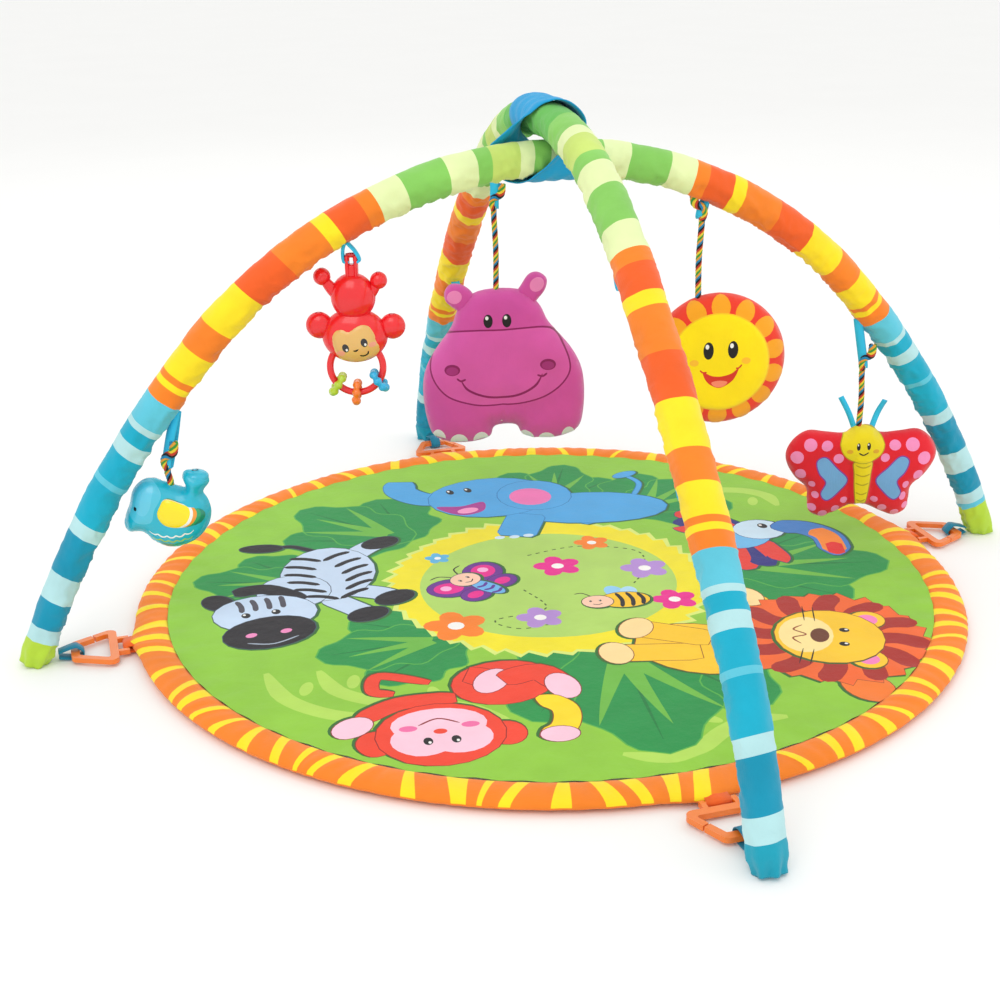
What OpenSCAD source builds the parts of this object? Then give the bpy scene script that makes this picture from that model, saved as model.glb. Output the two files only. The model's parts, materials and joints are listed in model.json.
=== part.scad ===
// Activity play gym: a round padded mat, two crossing padded arches and five hanging toys.
// Origin: mat centre on the floor. +Z is up, arch A runs along X, arch B runs along Y above it.

/* [Mat] */
// Outer diameter of the mat, over its binding
mat_d = 840; // [760:10:900]
// Width of the padded binding round the rim
rim_w = 32; // [24:1:40]
// Height of the padded binding
rim_h = 15; // [12:1:18]
// Thickness of the quilted middle of the mat
mat_t = 12; // [10:1:12]

/* [Arch tubes] */
// Outside diameter of the fabric sleeve
sleeve_d = 34.8; // [33:0.2:34.8]
// Thickness of the sleeve fabric
sleeve_t = 0.8; // [0.6:0.1:1]
// Diameter of the bent rod inside the foam
rod_d = 8; // [6:1:9]
// Wall of the ferrule and of the end caps
ferrule_t = 2; // [1.5:0.5:2]

/* [Arch A, the lower arch] */
// Distance from the mat centre to a foot of arch A
foot_a = 515; // [510:1:520]
// Angle of the leg at the floor
lean_a = 67; // [66.5:0.1:67]
// Radius and turn of the lower bend
bend_a1_r = 945; // [940:1:948]
bend_a1_turn = 19.5; // [19:0.1:20]
// Radius and turn of the shoulder bend
bend_a2_r = 465; // [460:1:466]
bend_a2_turn = 35; // [34.5:0.1:35.5]

/* [Arch B, the upper arch] */
// Distance from the mat centre to a foot of arch B
foot_b = 519; // [518:0.5:521]
// Angle of the leg at the floor
lean_b = 72; // [72:0.1:72.5]
// Radius and turn of the bend above the foot
bend_b1_r = 430; // [428:1:440]
bend_b1_turn = 15.7; // [15.5:0.1:15.8]
// Radius and turn of the long bend
bend_b2_r = 1186; // [1184:1:1200]
bend_b2_turn = 16; // [16:0.1:16.2]
// Radius and turn of the shoulder bend
bend_b3_r = 592; // [590:1:600]
bend_b3_turn = 10; // [9.8:0.1:10.2]

/* [Ribbon loops] */
// Inside radius of a toy loop
loop_r = 6.5; // [6:0.1:7]
// Width of the ribbon
ribbon_w = 10; // [8:0.5:10]
// Thickness of the ribbon
ribbon_t = 1.2; // [1:0.1:1.4]
// Slope of the arch above each toy
slope_bird = 53.5; // [53:0.1:53.8]
slope_monkey = 27.4; // [27:0.1:28]
slope_sun = 23; // [22.5:0.1:23.5]
slope_butterfly = 51.2; // [51:0.1:51.5]
slope_hippo = 34.3; // [34:0.1:34.5]
// Slope of arch B above the spare loops
slope_spare_top = 37.5; // [37:0.1:38]
slope_spare_low = 48.6; // [48:0.1:49]
// How far each loop hangs below the sleeve
drop_bird = 14; // [12:1:16]
drop_butterfly = 18; // [14:1:20]
drop_hippo = 20; // [16:1:22]
drop_spare = 4; // [2:1:8]

/* [Links] */
// Width of a link on the mat side
link_w = 66; // [62:1:68]
// Width of a link on the foot side
link_foot_w = 38; // [34:1:40]
// Length of the ring of a link
link_len = 44; // [42:1:45]
// Thickness of the moulding
link_t = 5; // [4:0.5:5]
// Width of the moulding's limbs
link_limb = 8; // [7:0.5:8]

/* [Toys] */
// Angle by which the toys turn to face forward
face_turn = -16; // [-18:1:-14]
// Thickness of the stuffed toys
hippo_t = 36; // [30:1:38]
sun_t = 30; // [26:1:32]
butterfly_t = 24; // [20:1:26]
// Radius of the sun
sun_r = 68; // [64:1:68]
// Thickness of the moulded rattles
bird_t = 34; // [30:1:36]
monkey_t = 30; // [28:1:32]
// Wall of the moulded rattles
shell_t = 2; // [1.6:0.1:2.4]
// Diameter of the twisted cord
cord_d = 6.4; // [5.8:0.1:6.6]
// Distance from each loop down to its toy's centre
hang_bird = 57.5; // [57:0.5:60]
hang_sun = 151; // [149:1:154]
hang_butterfly = 123; // [121:1:126]
hang_hippo = 183.5; // [182:0.5:186]

/* [Hidden] */

tube_fn = 48;     // facets round a tube
bend_fn = 720;    // facets round a full turn of a large bend
round_fn = 64;    // facets round other circles
gap = 0.2;        // clearance between neighbouring pieces
eps = 0.01;       // overshoot of a cutting solid

sleeve_r = sleeve_d / 2;
foam_r = sleeve_r - sleeve_t - 2 * gap;
seam_gap = 0.05;         // bends stop this far short of a seam
seam_len = 2;
seam_proud = 0.12;
rod_r = rod_d / 2;
ferrule_r = rod_r + 0.1 + ferrule_t;
foam_bore_r = ferrule_r + gap;
foot_len = 30;           // straight length above the floor
foot_overrun = sleeve_r; // straight length below the floor, cut off by the floor plane
cap_start = 6;
cap_len = 18;
ferrule_turn = 6;        // half the ferrule's arc
floor_t = 1.2;           // sleeve fabric under the foot
big = 1400;

mat_r = mat_d / 2;
quilt_r = mat_r - rim_w - gap;
cover_t = 1.2;

link_z = 6;              // height of the middle of a link above the floor
link_pin_r = 2.4;
link_neck = 8;           // from the hinge pin to the ring
link_hinge_r = mat_r + 9;
tab_w = 22;

// An arch is its foot's distance, its lean and its bends; the last bend closes it at x = 0.
function turned(bends, n) = n == 0 ? 0 : turned(bends, n - 1) + bends[n - 1][1];
function bend_u(lean, bends, n) = n == 0
    ? foot_len * cos(lean)
    : bend_u(lean, bends, n - 1)
        + bends[n - 1][0] * (sin(lean - turned(bends, n - 1)) - sin(lean - turned(bends, n)));
function bend_z(lean, bends, n) = n == 0
    ? foot_len * sin(lean)
    : bend_z(lean, bends, n - 1)
        + bends[n - 1][0] * (cos(lean - turned(bends, n)) - cos(lean - turned(bends, n - 1)));
function closed(foot, lean, bends) =
    let (n = len(bends), left = lean - turned(bends, n))
    [foot, lean, concat(bends, [[(foot - bend_u(lean, bends, n)) / sin(left), left]])];
function crown_z(arch) = bend_z(arch[1], arch[2], len(arch[2]));
function bend_at(arch, slope, n = 0) =
    n == len(arch[2]) - 1 || slope > arch[1] - turned(arch[2], n + 1)
    ? n : bend_at(arch, slope, n + 1);

// Distance from the centre and height of the arch's centreline where it has a given slope
function arch_point(arch, slope) =
    let (n = bend_at(arch, slope), r = arch[2][n][0], start = arch[1] - turned(arch[2], n))
    [arch[0] - bend_u(arch[1], arch[2], n) - r * (sin(start) - sin(slope)),
     bend_z(arch[1], arch[2], n) + r * (cos(slope) - cos(start))];

// Middle of a ribbon loop under the sleeve, as distance from the centre and height
function loop_point(arch, slope, drop) =
    let (p = arch_point(arch, slope), out = sleeve_r + gap + loop_r + ribbon_t)
    [p[0] - out * sin(slope), p[1] - out * cos(slope) - drop];

arch_a = closed(foot_a, lean_a, [[bend_a1_r, bend_a1_turn], [bend_a2_r, bend_a2_turn]]);
arch_b = closed(foot_b, lean_b,
    [[bend_b1_r, bend_b1_turn], [bend_b2_r, bend_b2_turn], [bend_b3_r, bend_b3_turn]]);
assert(crown_z(arch_b) - crown_z(arch_a) > sleeve_d + 2 * seam_proud, "the arches touch where they cross");

loop_bird = loop_point(arch_a, slope_bird, drop_bird);
loop_monkey = loop_point(arch_a, slope_monkey, 0);
loop_sun = loop_point(arch_a, slope_sun, 0);
loop_butterfly = loop_point(arch_a, slope_butterfly, drop_butterfly);
loop_hippo = loop_point(arch_b, slope_hippo, drop_hippo);
loop_spare_top = loop_point(arch_b, slope_spare_top, drop_spare);
loop_spare_low = loop_point(arch_b, slope_spare_low, drop_spare);

// Smooth closed outline through a few points
function spline(a, b, c, d, t) =
    0.5 * (2 * b + (c - a) * t + (2 * a - 5 * b + 4 * c - d) * t * t
        + (3 * b - a - 3 * c + d) * t * t * t);
function smooth(p, steps = 4) = let (n = len(p))
    [for (i = [0 : n - 1], k = [0 : steps - 1])
        spline(p[(i + n - 1) % n], p[i], p[(i + 1) % n], p[(i + 2) % n], k / steps)];
function mirrored(half) = concat(half, [for (i = [len(half) - 1 : -1 : 0]) [-half[i][0], half[i][1]]]);

hippo_outline = smooth(mirrored([[21, 88], [43, 72], [55, 50], [76.5, 22], [87.5, 0], [91, -23],
    [89.5, -52], [83, -73], [64, -83], [40, -85], [20.5, -81], [11, -69.5]]));
hippo_lean = 2.6;
hippo_x = 5.6;
butterfly_outline = smooth(mirrored([[9, 52.5], [20, 45], [41, 46], [60, 47], [74, 38], [82, 24],
    [81, 10], [72, -6.5], [59, -20], [57, -34], [53.5, -48], [41, -54], [27, -50], [8, -42]]));
butterfly_x = 4.5;
bird_outline = smooth([[-11, 38], [-22, 36], [-31, 27], [-35.5, 13], [-40.5, 1], [-41, -8],
    [-37.5, -14.5], [-25, -15], [-17, -23], [-7, -29], [3.5, -31], [15, -29], [27, -22.5],
    [37, -10], [41, 4], [39, 16], [35, 24.5], [41.5, 34], [38, 42], [22, 46], [16.5, 40],
    [18.5, 29], [6, 32]]);
bird_x = -4.5;
bird_top = 34.8;          // from the middle of the bird up to the end of its cord
sun_x = 21.6;
monkey_drop = 87;         // from the middle of the loop down to the middle of the monkey's head
monkey_pivot = 78.5;      // from the middle of the head up to the ribbon's hole
handle_r = 25;            // middle of the handle ring's tube
handle_tube_r = 3.25;
handle_z = -24;
bead_r = 12;
bead_t = 8;

// Cord eye, linked through a ribbon loop
eye_r = 7.6;
eye_wire_r = 2;
eye_drop = loop_r + ribbon_t / 2;
cord_start = eye_drop + eye_r;
stuffing_scale = 0.95;
cover_wall = 1.5;

// ---------- arch geometry ----------

// Placed at the foot on the -X side, with +Z up the leg
module at_leg_end(arch, start) {
    translate([-arch[0], 0, 0])
        rotate([0, 90 - arch[1], 0])
            translate([0, 0, start])
                children();
}

// Bends of one leg, on the -X side, with a flat profile carried along them
module bent_profile(arch) {
    lean = arch[1];
    bends = arch[2];
    for (n = [0 : len(bends) - 1]) {
        slope = lean - turned(bends, n);
        bend_r = bends[n][0];
        trim = seam_gap / bend_r * 180 / PI;
        translate([bend_u(lean, bends, n) + bend_r * sin(slope) - arch[0], 0,
                   bend_z(lean, bends, n) - bend_r * cos(slope)])
            rotate([90, 0, 0])
                rotate([0, 0, 90 + slope - bends[n][1] + trim])
                    rotate_extrude(angle = bends[n][1] - 2 * trim, $fn = bend_fn)
                        translate([bend_r, 0])
                            children();
    }
}

// Short straight seams that join the bends of one leg to each other
module seams(arch) {
    bends = arch[2];
    for (n = [0 : len(bends) - 1])
        translate([bend_u(arch[1], bends, n) - arch[0], 0, bend_z(arch[1], bends, n)])
            rotate([0, 90 - arch[1] + turned(bends, n), 0])
                linear_extrude(seam_len, center = true)
                    children();
}

module crown_seam(arch) {
    translate([0, 0, crown_z(arch)])
        rotate([0, 90, 0])
            linear_extrude(seam_len, center = true)
                children();
}

module ring_profile(r, bore_r) {
    difference() {
        circle(r = r, $fn = tube_fn);
        circle(r = bore_r, $fn = tube_fn);
    }
}

// Straight foot of a leg, cut level at height z
module straight_foot(arch, r, z) {
    difference() {
        at_leg_end(arch, -foot_overrun)
            cylinder(r = r, h = foot_len + foot_overrun - seam_gap, $fn = tube_fn);
        translate([-2 * arch[0], -arch[0], z - big]) cube([2 * arch[0], 2 * arch[0], big]);
    }
}

// Hollow padded leg on the -X side; its bore stops above the floor
module padded_leg(arch, r, bore_r, z, bore_z) {
    difference() {
        straight_foot(arch, r, z);
        straight_foot(arch, bore_r, bore_z);
    }
    bent_profile(arch) ring_profile(r, bore_r);
    seams(arch) ring_profile(r + seam_proud, bore_r + 2 * seam_proud);
}

module both_legs() {
    children();
    mirror([1, 0, 0]) children();
}

// Arc piece under the crown, for the ferrule
module crown_arc(arch) {
    bend_r = arch[2][len(arch[2]) - 1][0];
    translate([0, 0, crown_z(arch) - bend_r])
        rotate([90, 0, 0])
            rotate([0, 0, 90 - ferrule_turn])
                rotate_extrude(angle = 2 * ferrule_turn, $fn = bend_fn)
                    translate([bend_r, 0])
                        children();
}

module rod(arch) {
    start = cap_start + ferrule_t + gap;
    at_leg_end(arch, start)
        cylinder(r = rod_r, h = foot_len - start - seam_gap, $fn = tube_fn);
    bent_profile(arch) circle(r = rod_r, $fn = tube_fn);
    seams(arch) circle(r = rod_r + seam_proud, $fn = tube_fn);
}

module ferrule(arch) {
    crown_arc(arch) ring_profile(ferrule_r, rod_r + 0.1);
}

module end_cap(arch) {
    at_leg_end(arch, cap_start)
        difference() {
            cylinder(r = ferrule_r, h = cap_len, $fn = tube_fn);
            translate([0, 0, ferrule_t]) cylinder(r = rod_r + 0.1, h = cap_len, $fn = tube_fn);
        }
}

module end_caps(arch) {
    both_legs() end_cap(arch);
}

module foam(arch) {
    both_legs() padded_leg(arch, foam_r, foam_bore_r, floor_t + gap, floor_t + gap);
    crown_seam(arch) ring_profile(foam_r + seam_proud, foam_bore_r + 2 * seam_proud);
}

module sleeve(arch) {
    both_legs() padded_leg(arch, sleeve_r, sleeve_r - sleeve_t, 0, floor_t);
    crown_seam(arch) ring_profile(sleeve_r + seam_proud, sleeve_r - sleeve_t + 2 * seam_proud);
}

// Ribbon at a foot, looped round the outer limb of a link
module foot_ribbon(arch) {
    limb_out = link_hinge_r + link_neck + link_len;
    slack = 0.6;
    half_h = link_t / 2 + slack;
    loop_len = link_limb + 2 * slack;
    sleeve_x = arch[0] - sleeve_r / sin(arch[1]) - 5 * gap - link_z / tan(arch[1]);
    translate([-limb_out - slack, -ribbon_w / 2, link_z - half_h])
        difference() {
            translate([-ribbon_t, 0, -ribbon_t])
                cube([loop_len + 2 * ribbon_t, ribbon_w, 2 * half_h + 2 * ribbon_t]);
            translate([0, -eps, 0]) cube([loop_len, ribbon_w + 2 * eps, 2 * half_h]);
        }
    translate([-sleeve_x, -ribbon_w / 2, link_z - ribbon_t])
        cube([sleeve_x - limb_out - slack - ribbon_t / 2, ribbon_w, 2 * ribbon_t]);
}

module foot_ribbons(arch) {
    foot_ribbon(arch);
    mirror([1, 0, 0]) foot_ribbon(arch);
}

// Toy loop: a round eye of ribbon whose hole runs across the arch, on a double tail
module toy_loop(point, slope, drop) {
    eye_out = loop_r + ribbon_t;
    tail = drop + (eye_out + gap) / cos(slope) - eye_out - ribbon_t * tan(slope) - 5 * gap;
    translate([-point[0], 0, point[1]]) {
        rotate([90, 0, 0])
            difference() {
                cylinder(r = eye_out, h = ribbon_w, center = true, $fn = round_fn);
                cylinder(r = loop_r, h = ribbon_w + 2 * eps, center = true, $fn = round_fn);
            }
        if (tail > 0)
            translate([-ribbon_t, -ribbon_w / 2, loop_r + ribbon_t / 2])
                cube([2 * ribbon_t, ribbon_w, tail + ribbon_t / 2]);
    }
}

// ---------- mat ----------

module mat_disc(z, t) {
    translate([0, 0, z]) cylinder(r = quilt_r, h = t, $fn = 180);
}

module mat_bottom_cover() {
    color("darkorange") mat_disc(0, cover_t);
}

module mat_padding() {
    color("white") mat_disc(cover_t + 0.1, mat_t - 2 * cover_t - 0.2);
}

module mat_top_cover() {
    color("yellowgreen") mat_disc(mat_t - cover_t, cover_t);
}

// Soft binding with rounded edges round the rim
module mat_binding() {
    corner = rim_h / 2;
    color("orange")
        rotate_extrude($fn = 180)
            polygon([
                for (a = [-90 : 15 : 90])
                    [mat_r - corner + corner * cos(a), corner + corner * sin(a)],
                for (a = [90 : 15 : 270])
                    [mat_r - rim_w + corner + corner * cos(a), corner + corner * sin(a)]
            ]);
}

// Webbing tab that holds the hinge pin of a link
module mat_tab() {
    pin_clear = link_pin_r + gap;
    webbing_t = 1.4;
    translate([-link_hinge_r, 0, link_z]) {
        rotate([90, 0, 0])
            difference() {
                cylinder(r = pin_clear + webbing_t, h = tab_w, center = true, $fn = round_fn);
                cylinder(r = pin_clear, h = tab_w + 2 * eps, center = true, $fn = round_fn);
            }
        translate([pin_clear + webbing_t / 2, -tab_w / 2, -webbing_t])
            cube([link_hinge_r - mat_r - gap - pin_clear - webbing_t / 2, tab_w, 2 * webbing_t]);
    }
}

module mat_tabs() {
    color("orangered")
        for (a = [0 : 90 : 270]) rotate([0, 0, a]) mat_tab();
}

// ---------- links ----------

module link_outline(inset) {
    corner = 7 - inset * 0.6;
    near_y = link_w / 2 - inset - corner;
    far_y = link_foot_w / 2 - inset * 0.7 - corner;
    hull()
        for (side = [-1, 1]) {
            translate([-link_neck - inset - corner, side * near_y]) circle(r = corner, $fn = 32);
            translate([-link_neck - link_len + inset + corner, side * far_y])
                circle(r = corner, $fn = 32);
        }
}

module link(side) {
    arm = 4.5;
    arm_y = tab_w / 2 + 0.5;
    color("darkorange")
        rotate([0, 0, side])
            translate([-link_hinge_r, 0, link_z]) {
                rotate([90, 0, 0])
                    cylinder(r = link_pin_r, h = 2 * arm_y + arm, center = true, $fn = 32);
                for (y = [-arm_y - arm, arm_y])
                    translate([-link_neck - 1, y, -link_pin_r])
                        cube([link_neck + 1 + link_pin_r, arm, 2 * link_pin_r]);
                translate([0, 0, -link_t / 2])
                    difference() {
                        linear_extrude(link_t) link_outline(0);
                        translate([0, 0, -eps])
                            linear_extrude(link_t + 2 * eps) link_outline(link_limb);
                        translate([-link_neck - 20, link_w / 2 - 16, -eps])
                            rotate([0, 0, 25]) cube([1.6, 30, link_t + 2 * eps]);
                    }
            }
}

// ---------- arches ----------

module arch_a_rod_left() { color("dimgray") rod(arch_a); }
module arch_a_rod_right() { color("dimgray") mirror([1, 0, 0]) rod(arch_a); }
module arch_a_ferrule() { color("silver") ferrule(arch_a); }
module arch_a_end_caps() { color("black") end_caps(arch_a); }
module arch_a_foam() { color("whitesmoke") foam(arch_a); }
module arch_a_sleeve() { color("orange") sleeve(arch_a); }
module arch_a_foot_ribbons() { color("darkcyan") foot_ribbons(arch_a); }

// Ribbon through the hole in the monkey's stem, with both ends going up to the sleeve
module monkey_loop() {
    stem_half = 6;
    tie = monkey_drop - monkey_pivot;
    bar_r = 2;
    arm_h = tie + 3;
    arm_x = stem_half + gap + ribbon_t / 2;
    translate([-loop_monkey[0], 0, loop_monkey[1] - tie]) rotate([0, 0, face_turn]) {
        rotate([0, 90, 0]) cylinder(r = bar_r, h = 2 * arm_x, center = true, $fn = 32);
        for (side = [-1, 1])
            translate([side * arm_x, 0, arm_h / 2])
                cube([ribbon_t, ribbon_w / 2, arm_h], center = true);
        translate([0, 0, arm_h - ribbon_t / 2])
            cube([2 * arm_x, ribbon_w / 2, ribbon_t], center = true);
    }
}

module arch_a_toy_loops() {
    color("deepskyblue") {
        toy_loop(loop_bird, slope_bird, drop_bird);
        monkey_loop();
        mirror([1, 0, 0]) {
            toy_loop(loop_sun, slope_sun, 0);
            toy_loop(loop_butterfly, slope_butterfly, drop_butterfly);
        }
    }
}

// Arch B is drawn along X and turned so that its -X foot becomes the front foot, at -Y
module turned_to_b() { rotate([0, 0, 90]) children(); }

module arch_b_rod_front() { color("dimgray") turned_to_b() rod(arch_b); }
module arch_b_rod_back() { color("dimgray") turned_to_b() mirror([1, 0, 0]) rod(arch_b); }
module arch_b_ferrule() { color("silver") turned_to_b() ferrule(arch_b); }
module arch_b_end_caps() { color("black") turned_to_b() end_caps(arch_b); }
module arch_b_foam() { color("whitesmoke") turned_to_b() foam(arch_b); }
module arch_b_sleeve() { color("yellow") turned_to_b() sleeve(arch_b); }
module arch_b_foot_ribbons() { color("darkcyan") turned_to_b() foot_ribbons(arch_b); }

module arch_b_toy_loops() {
    color("deepskyblue")
        turned_to_b() {
            toy_loop(loop_spare_top, slope_spare_top, drop_spare);
            toy_loop(loop_spare_low, slope_spare_low, drop_spare);
            mirror([1, 0, 0]) {
                toy_loop(loop_hippo, slope_hippo, drop_hippo);
                toy_loop(loop_spare_low, slope_spare_low, drop_spare);
            }
        }
}

// Fabric band wrapped diagonally round both arches where they cross
module crossing_strap() {
    band_w = 20;
    band_t = 1.5;
    half_w = 2.7 * sleeve_r;
    half_h = 2.32 * sleeve_r;
    color("deepskyblue")
        translate([0, 0, (crown_z(arch_a) + crown_z(arch_b)) / 2])
            rotate([0, 0, -45])
                rotate([90, 0, 0])
                    translate([0, 0, -band_w / 2])
                        linear_extrude(band_w)
                            difference() {
                                polygon([for (a = [0 : 6 : 354])
                                    [(half_w + band_t) * cos(a), (half_h + band_t) * sin(a)]]);
                                polygon([for (a = [0 : 6 : 354])
                                    [half_w * cos(a), half_h * sin(a)]]);
                            }
}

// ---------- hanging parts ----------

module hang_a(point, side) {
    translate([side * point[0], 0, point[1]]) children();
}

module hang_b(point) {
    translate([0, point[0], point[1]]) children();
}

// Twisted cord with an eye at the top; the eye stands across the loop's hole
module cord(length, eye_turn) {
    color("seagreen") {
        translate([0, 0, -eye_drop])
            rotate([0, 0, eye_turn])
                rotate([0, 90, 0])
                    rotate_extrude($fn = round_fn)
                        translate([eye_r, 0]) circle(r = eye_wire_r, $fn = 24);
        translate([0, 0, -length])
            cylinder(r = cord_d / 2, h = length - cord_start, $fn = 32);
    }
}

// Turns a flat outline upright, with its face forward
module upright(x, drop) {
    rotate([0, 0, face_turn])
        translate([x, 0, -drop])
            rotate([90, 0, 0])
                children();
}

// Cupped front panel of a stuffed toy: its outline, hollowed for the filling
module cup(thick) {
    difference() {
        translate([0, 0, gap / 2]) linear_extrude(thick / 2 - gap / 2) children();
        translate([0, 0, -eps])
            linear_extrude(thick / 2 - cover_wall) scale(stuffing_scale) children();
    }
}

module filling(thick) {
    slack = 0.3;
    inner_t = thick - 2 * cover_wall - 2 * slack;
    translate([0, 0, -inner_t / 2])
        linear_extrude(inner_t) scale(stuffing_scale - 0.01) children();
}

// ---------- bird ----------

module bird_shape() { polygon(bird_outline); }

module bird_shell() {
    difference() {
        translate([0, 0, gap / 2]) linear_extrude(bird_t / 2 - gap / 2) bird_shape();
        translate([0, 0, -eps]) linear_extrude(bird_t / 2 - shell_t) scale(0.9) bird_shape();
    }
}

module bird_place() { hang_a(loop_bird, -1) upright(bird_x, hang_bird) children(); }

module bird_cord() { hang_a(loop_bird, -1) cord(hang_bird - bird_top, 0); }
module bird_left_shell() { color("darkturquoise") bird_place() bird_shell(); }
module bird_right_shell() { color("darkturquoise") bird_place() mirror([0, 0, 1]) bird_shell(); }

module bird_wings() {
    wing_t = 3;
    wing = smooth([[-6, 8], [0, 21], [10, 24], [27, 13], [36, 5], [24, -5], [8, -7]]);
    color("yellow")
        bird_place()
            for (side = [0, 1])
                mirror([0, 0, side])
                    translate([0, 0, bird_t / 2 + 0.05]) linear_extrude(wing_t) polygon(wing);
}

// Loose balls that rest on the floor of a rattle's hollow
module rattle_balls(floor_z, spacing) {
    ball_r = 2.5;
    for (n = [-1 : 1])
        translate([n * spacing, floor_z + ball_r + gap, 0]) sphere(r = ball_r, $fn = 32);
}

module bird_rattle_balls() { color("white") bird_place() translate([4, 0]) rattle_balls(-26, 6); }

// ---------- monkey ----------

// Flat outline of head, ears, body, raised feet and stem
module monkey_shape(inset) {
    head_r = 28;
    for (lift = [2, 8]) translate([0, lift]) circle(r = head_r - inset, $fn = round_fn);
    for (side = [-1, 1]) {
        translate([side * 34, 16]) circle(r = 12.4 - inset, $fn = 48);
        translate([side * 26, 61]) circle(r = 8.2 - inset, $fn = 48);
        translate([side * 26, 61])
            rotate([0, 0, side * 52])
                translate([-side * 8, 0]) square([24, 9 - 2 * inset], center = true);
    }
    translate([0, 44]) circle(r = 21 - inset, $fn = round_fn);
}

module monkey_place() {
    hang_a(loop_monkey, -1) upright(0, monkey_drop) children();
}

module monkey_half() {
    difference() {
        union() {
            translate([0, 0, gap / 2]) linear_extrude(monkey_t / 2 - gap / 2) monkey_shape(0);
            translate([-5.6, 62, gap / 2]) cube([11.2, 20.5, 6]);
        }
        translate([0, 0, -eps]) linear_extrude(monkey_t / 2 - shell_t) monkey_shape(shell_t);
        translate([0, monkey_pivot]) rotate([0, 90, 0])
            cylinder(r = 2.4, h = 40, center = true, $fn = 32);
        translate([0, handle_z])
            rotate_extrude($fn = round_fn)
                translate([handle_r, 0]) circle(r = handle_tube_r + 0.1, $fn = 32);
    }
}

module monkey_front_shell() { color("red") monkey_place() monkey_half(); }
module monkey_back_shell() { color("red") monkey_place() mirror([0, 0, 1]) monkey_half(); }

module monkey_face() {
    face = smooth(mirrored([[1, 15.5], [11, 20], [19, 12], [22.5, 0], [19, -13], [7, -18.5]]));
    color("tan")
        monkey_place()
            translate([0, 0, monkey_t / 2 + 0.05]) linear_extrude(3) polygon(face);
}

module monkey_handle() {
    color("red")
        monkey_place()
            translate([0, handle_z])
                rotate_extrude($fn = round_fn)
                    translate([handle_r, 0]) circle(r = handle_tube_r, $fn = 32);
}

// Lobed ring threaded on the handle at an angle round it
module bead_ring(angle) {
    lobes = 5;
    monkey_place()
        translate([0, handle_z])
            rotate([0, 0, angle])
                translate([handle_r, 0])
                    rotate([90, 0, 0])
                        translate([0, 0, -bead_t / 2])
                            linear_extrude(bead_t)
                                difference() {
                                    union() {
                                        circle(r = 0.78 * bead_r, $fn = 32);
                                        for (n = [0 : lobes - 1])
                                            rotate([0, 0, n * 360 / lobes])
                                                translate([0.65 * bead_r, 0])
                                                    circle(r = 0.35 * bead_r, $fn = 24);
                                    }
                                    circle(r = handle_tube_r + 1.2, $fn = 32);
                                }
}

module bead_ring_green() { color("yellowgreen") bead_ring(222); }
module bead_ring_orange() { color("darkorange") bead_ring(268); }
module bead_ring_blue() { color("deepskyblue") bead_ring(327); }
module monkey_rattle_balls() { color("white") monkey_place() rattle_balls(6, 7); }

// ---------- hippo ----------

module hippo_shape() { polygon(hippo_outline); }

module hippo_place() {
    hang_b(loop_hippo) upright(hippo_x, hang_hippo) rotate([0, 0, hippo_lean]) children();
}

module hippo_cord() { hang_b(loop_hippo) cord(hang_hippo - 91, 90); }
module hippo_front() { color("orchid") hippo_place() cup(hippo_t) hippo_shape(); }
module hippo_back() {
    color("orchid") hippo_place() mirror([0, 0, 1]) cup(hippo_t) hippo_shape();
}
module hippo_filling() { color("white") hippo_place() filling(hippo_t) hippo_shape(); }

module hippo_ears() {
    ear_t = 6;
    ear = smooth([[-10, 0], [-11, 10], [-7, 20], [0, 24], [7, 20], [11, 10], [10, 0]]);
    color("hotpink")
        hippo_place()
            for (side = [0, 1])
                mirror([side, 0, 0])
                    translate([34.5, 82.5, -ear_t / 2])
                        rotate([0, 0, -36]) linear_extrude(ear_t) polygon(ear);
}

// ---------- sun ----------

module sun_shape() { circle(r = sun_r, $fn = 96); }
module sun_place() { hang_a(loop_sun, 1) upright(sun_x, hang_sun) children(); }

module sun_cord() { hang_a(loop_sun, 1) cord(hang_sun - 66.5, 0); }
module sun_front() { color("orange") sun_place() cup(sun_t) sun_shape(); }
module sun_back() { color("orange") sun_place() mirror([0, 0, 1]) cup(sun_t) sun_shape(); }
module sun_filling() { color("white") sun_place() filling(sun_t) sun_shape(); }

// ---------- butterfly ----------

module butterfly_shape() { polygon(butterfly_outline); }

module butterfly_place() {
    hang_a(loop_butterfly, 1) upright(butterfly_x, hang_butterfly) children();
}

module butterfly_cord() { hang_a(loop_butterfly, 1) cord(hang_butterfly - 54.5, 0); }
module butterfly_front() { color("crimson") butterfly_place() cup(butterfly_t) butterfly_shape(); }
module butterfly_back() {
    color("crimson") butterfly_place() mirror([0, 0, 1]) cup(butterfly_t) butterfly_shape();
}
module butterfly_filling() {
    color("white") butterfly_place() filling(butterfly_t) butterfly_shape();
}

module butterfly_antennae() {
    color("deepskyblue")
        butterfly_place()
            for (side = [-1, 1])
                translate([side * 13, 52, -ribbon_t / 2])
                    rotate([0, 0, -side * 27])
                        translate([-3, 0, 0]) cube([6, 34, ribbon_t]);
}

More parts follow.
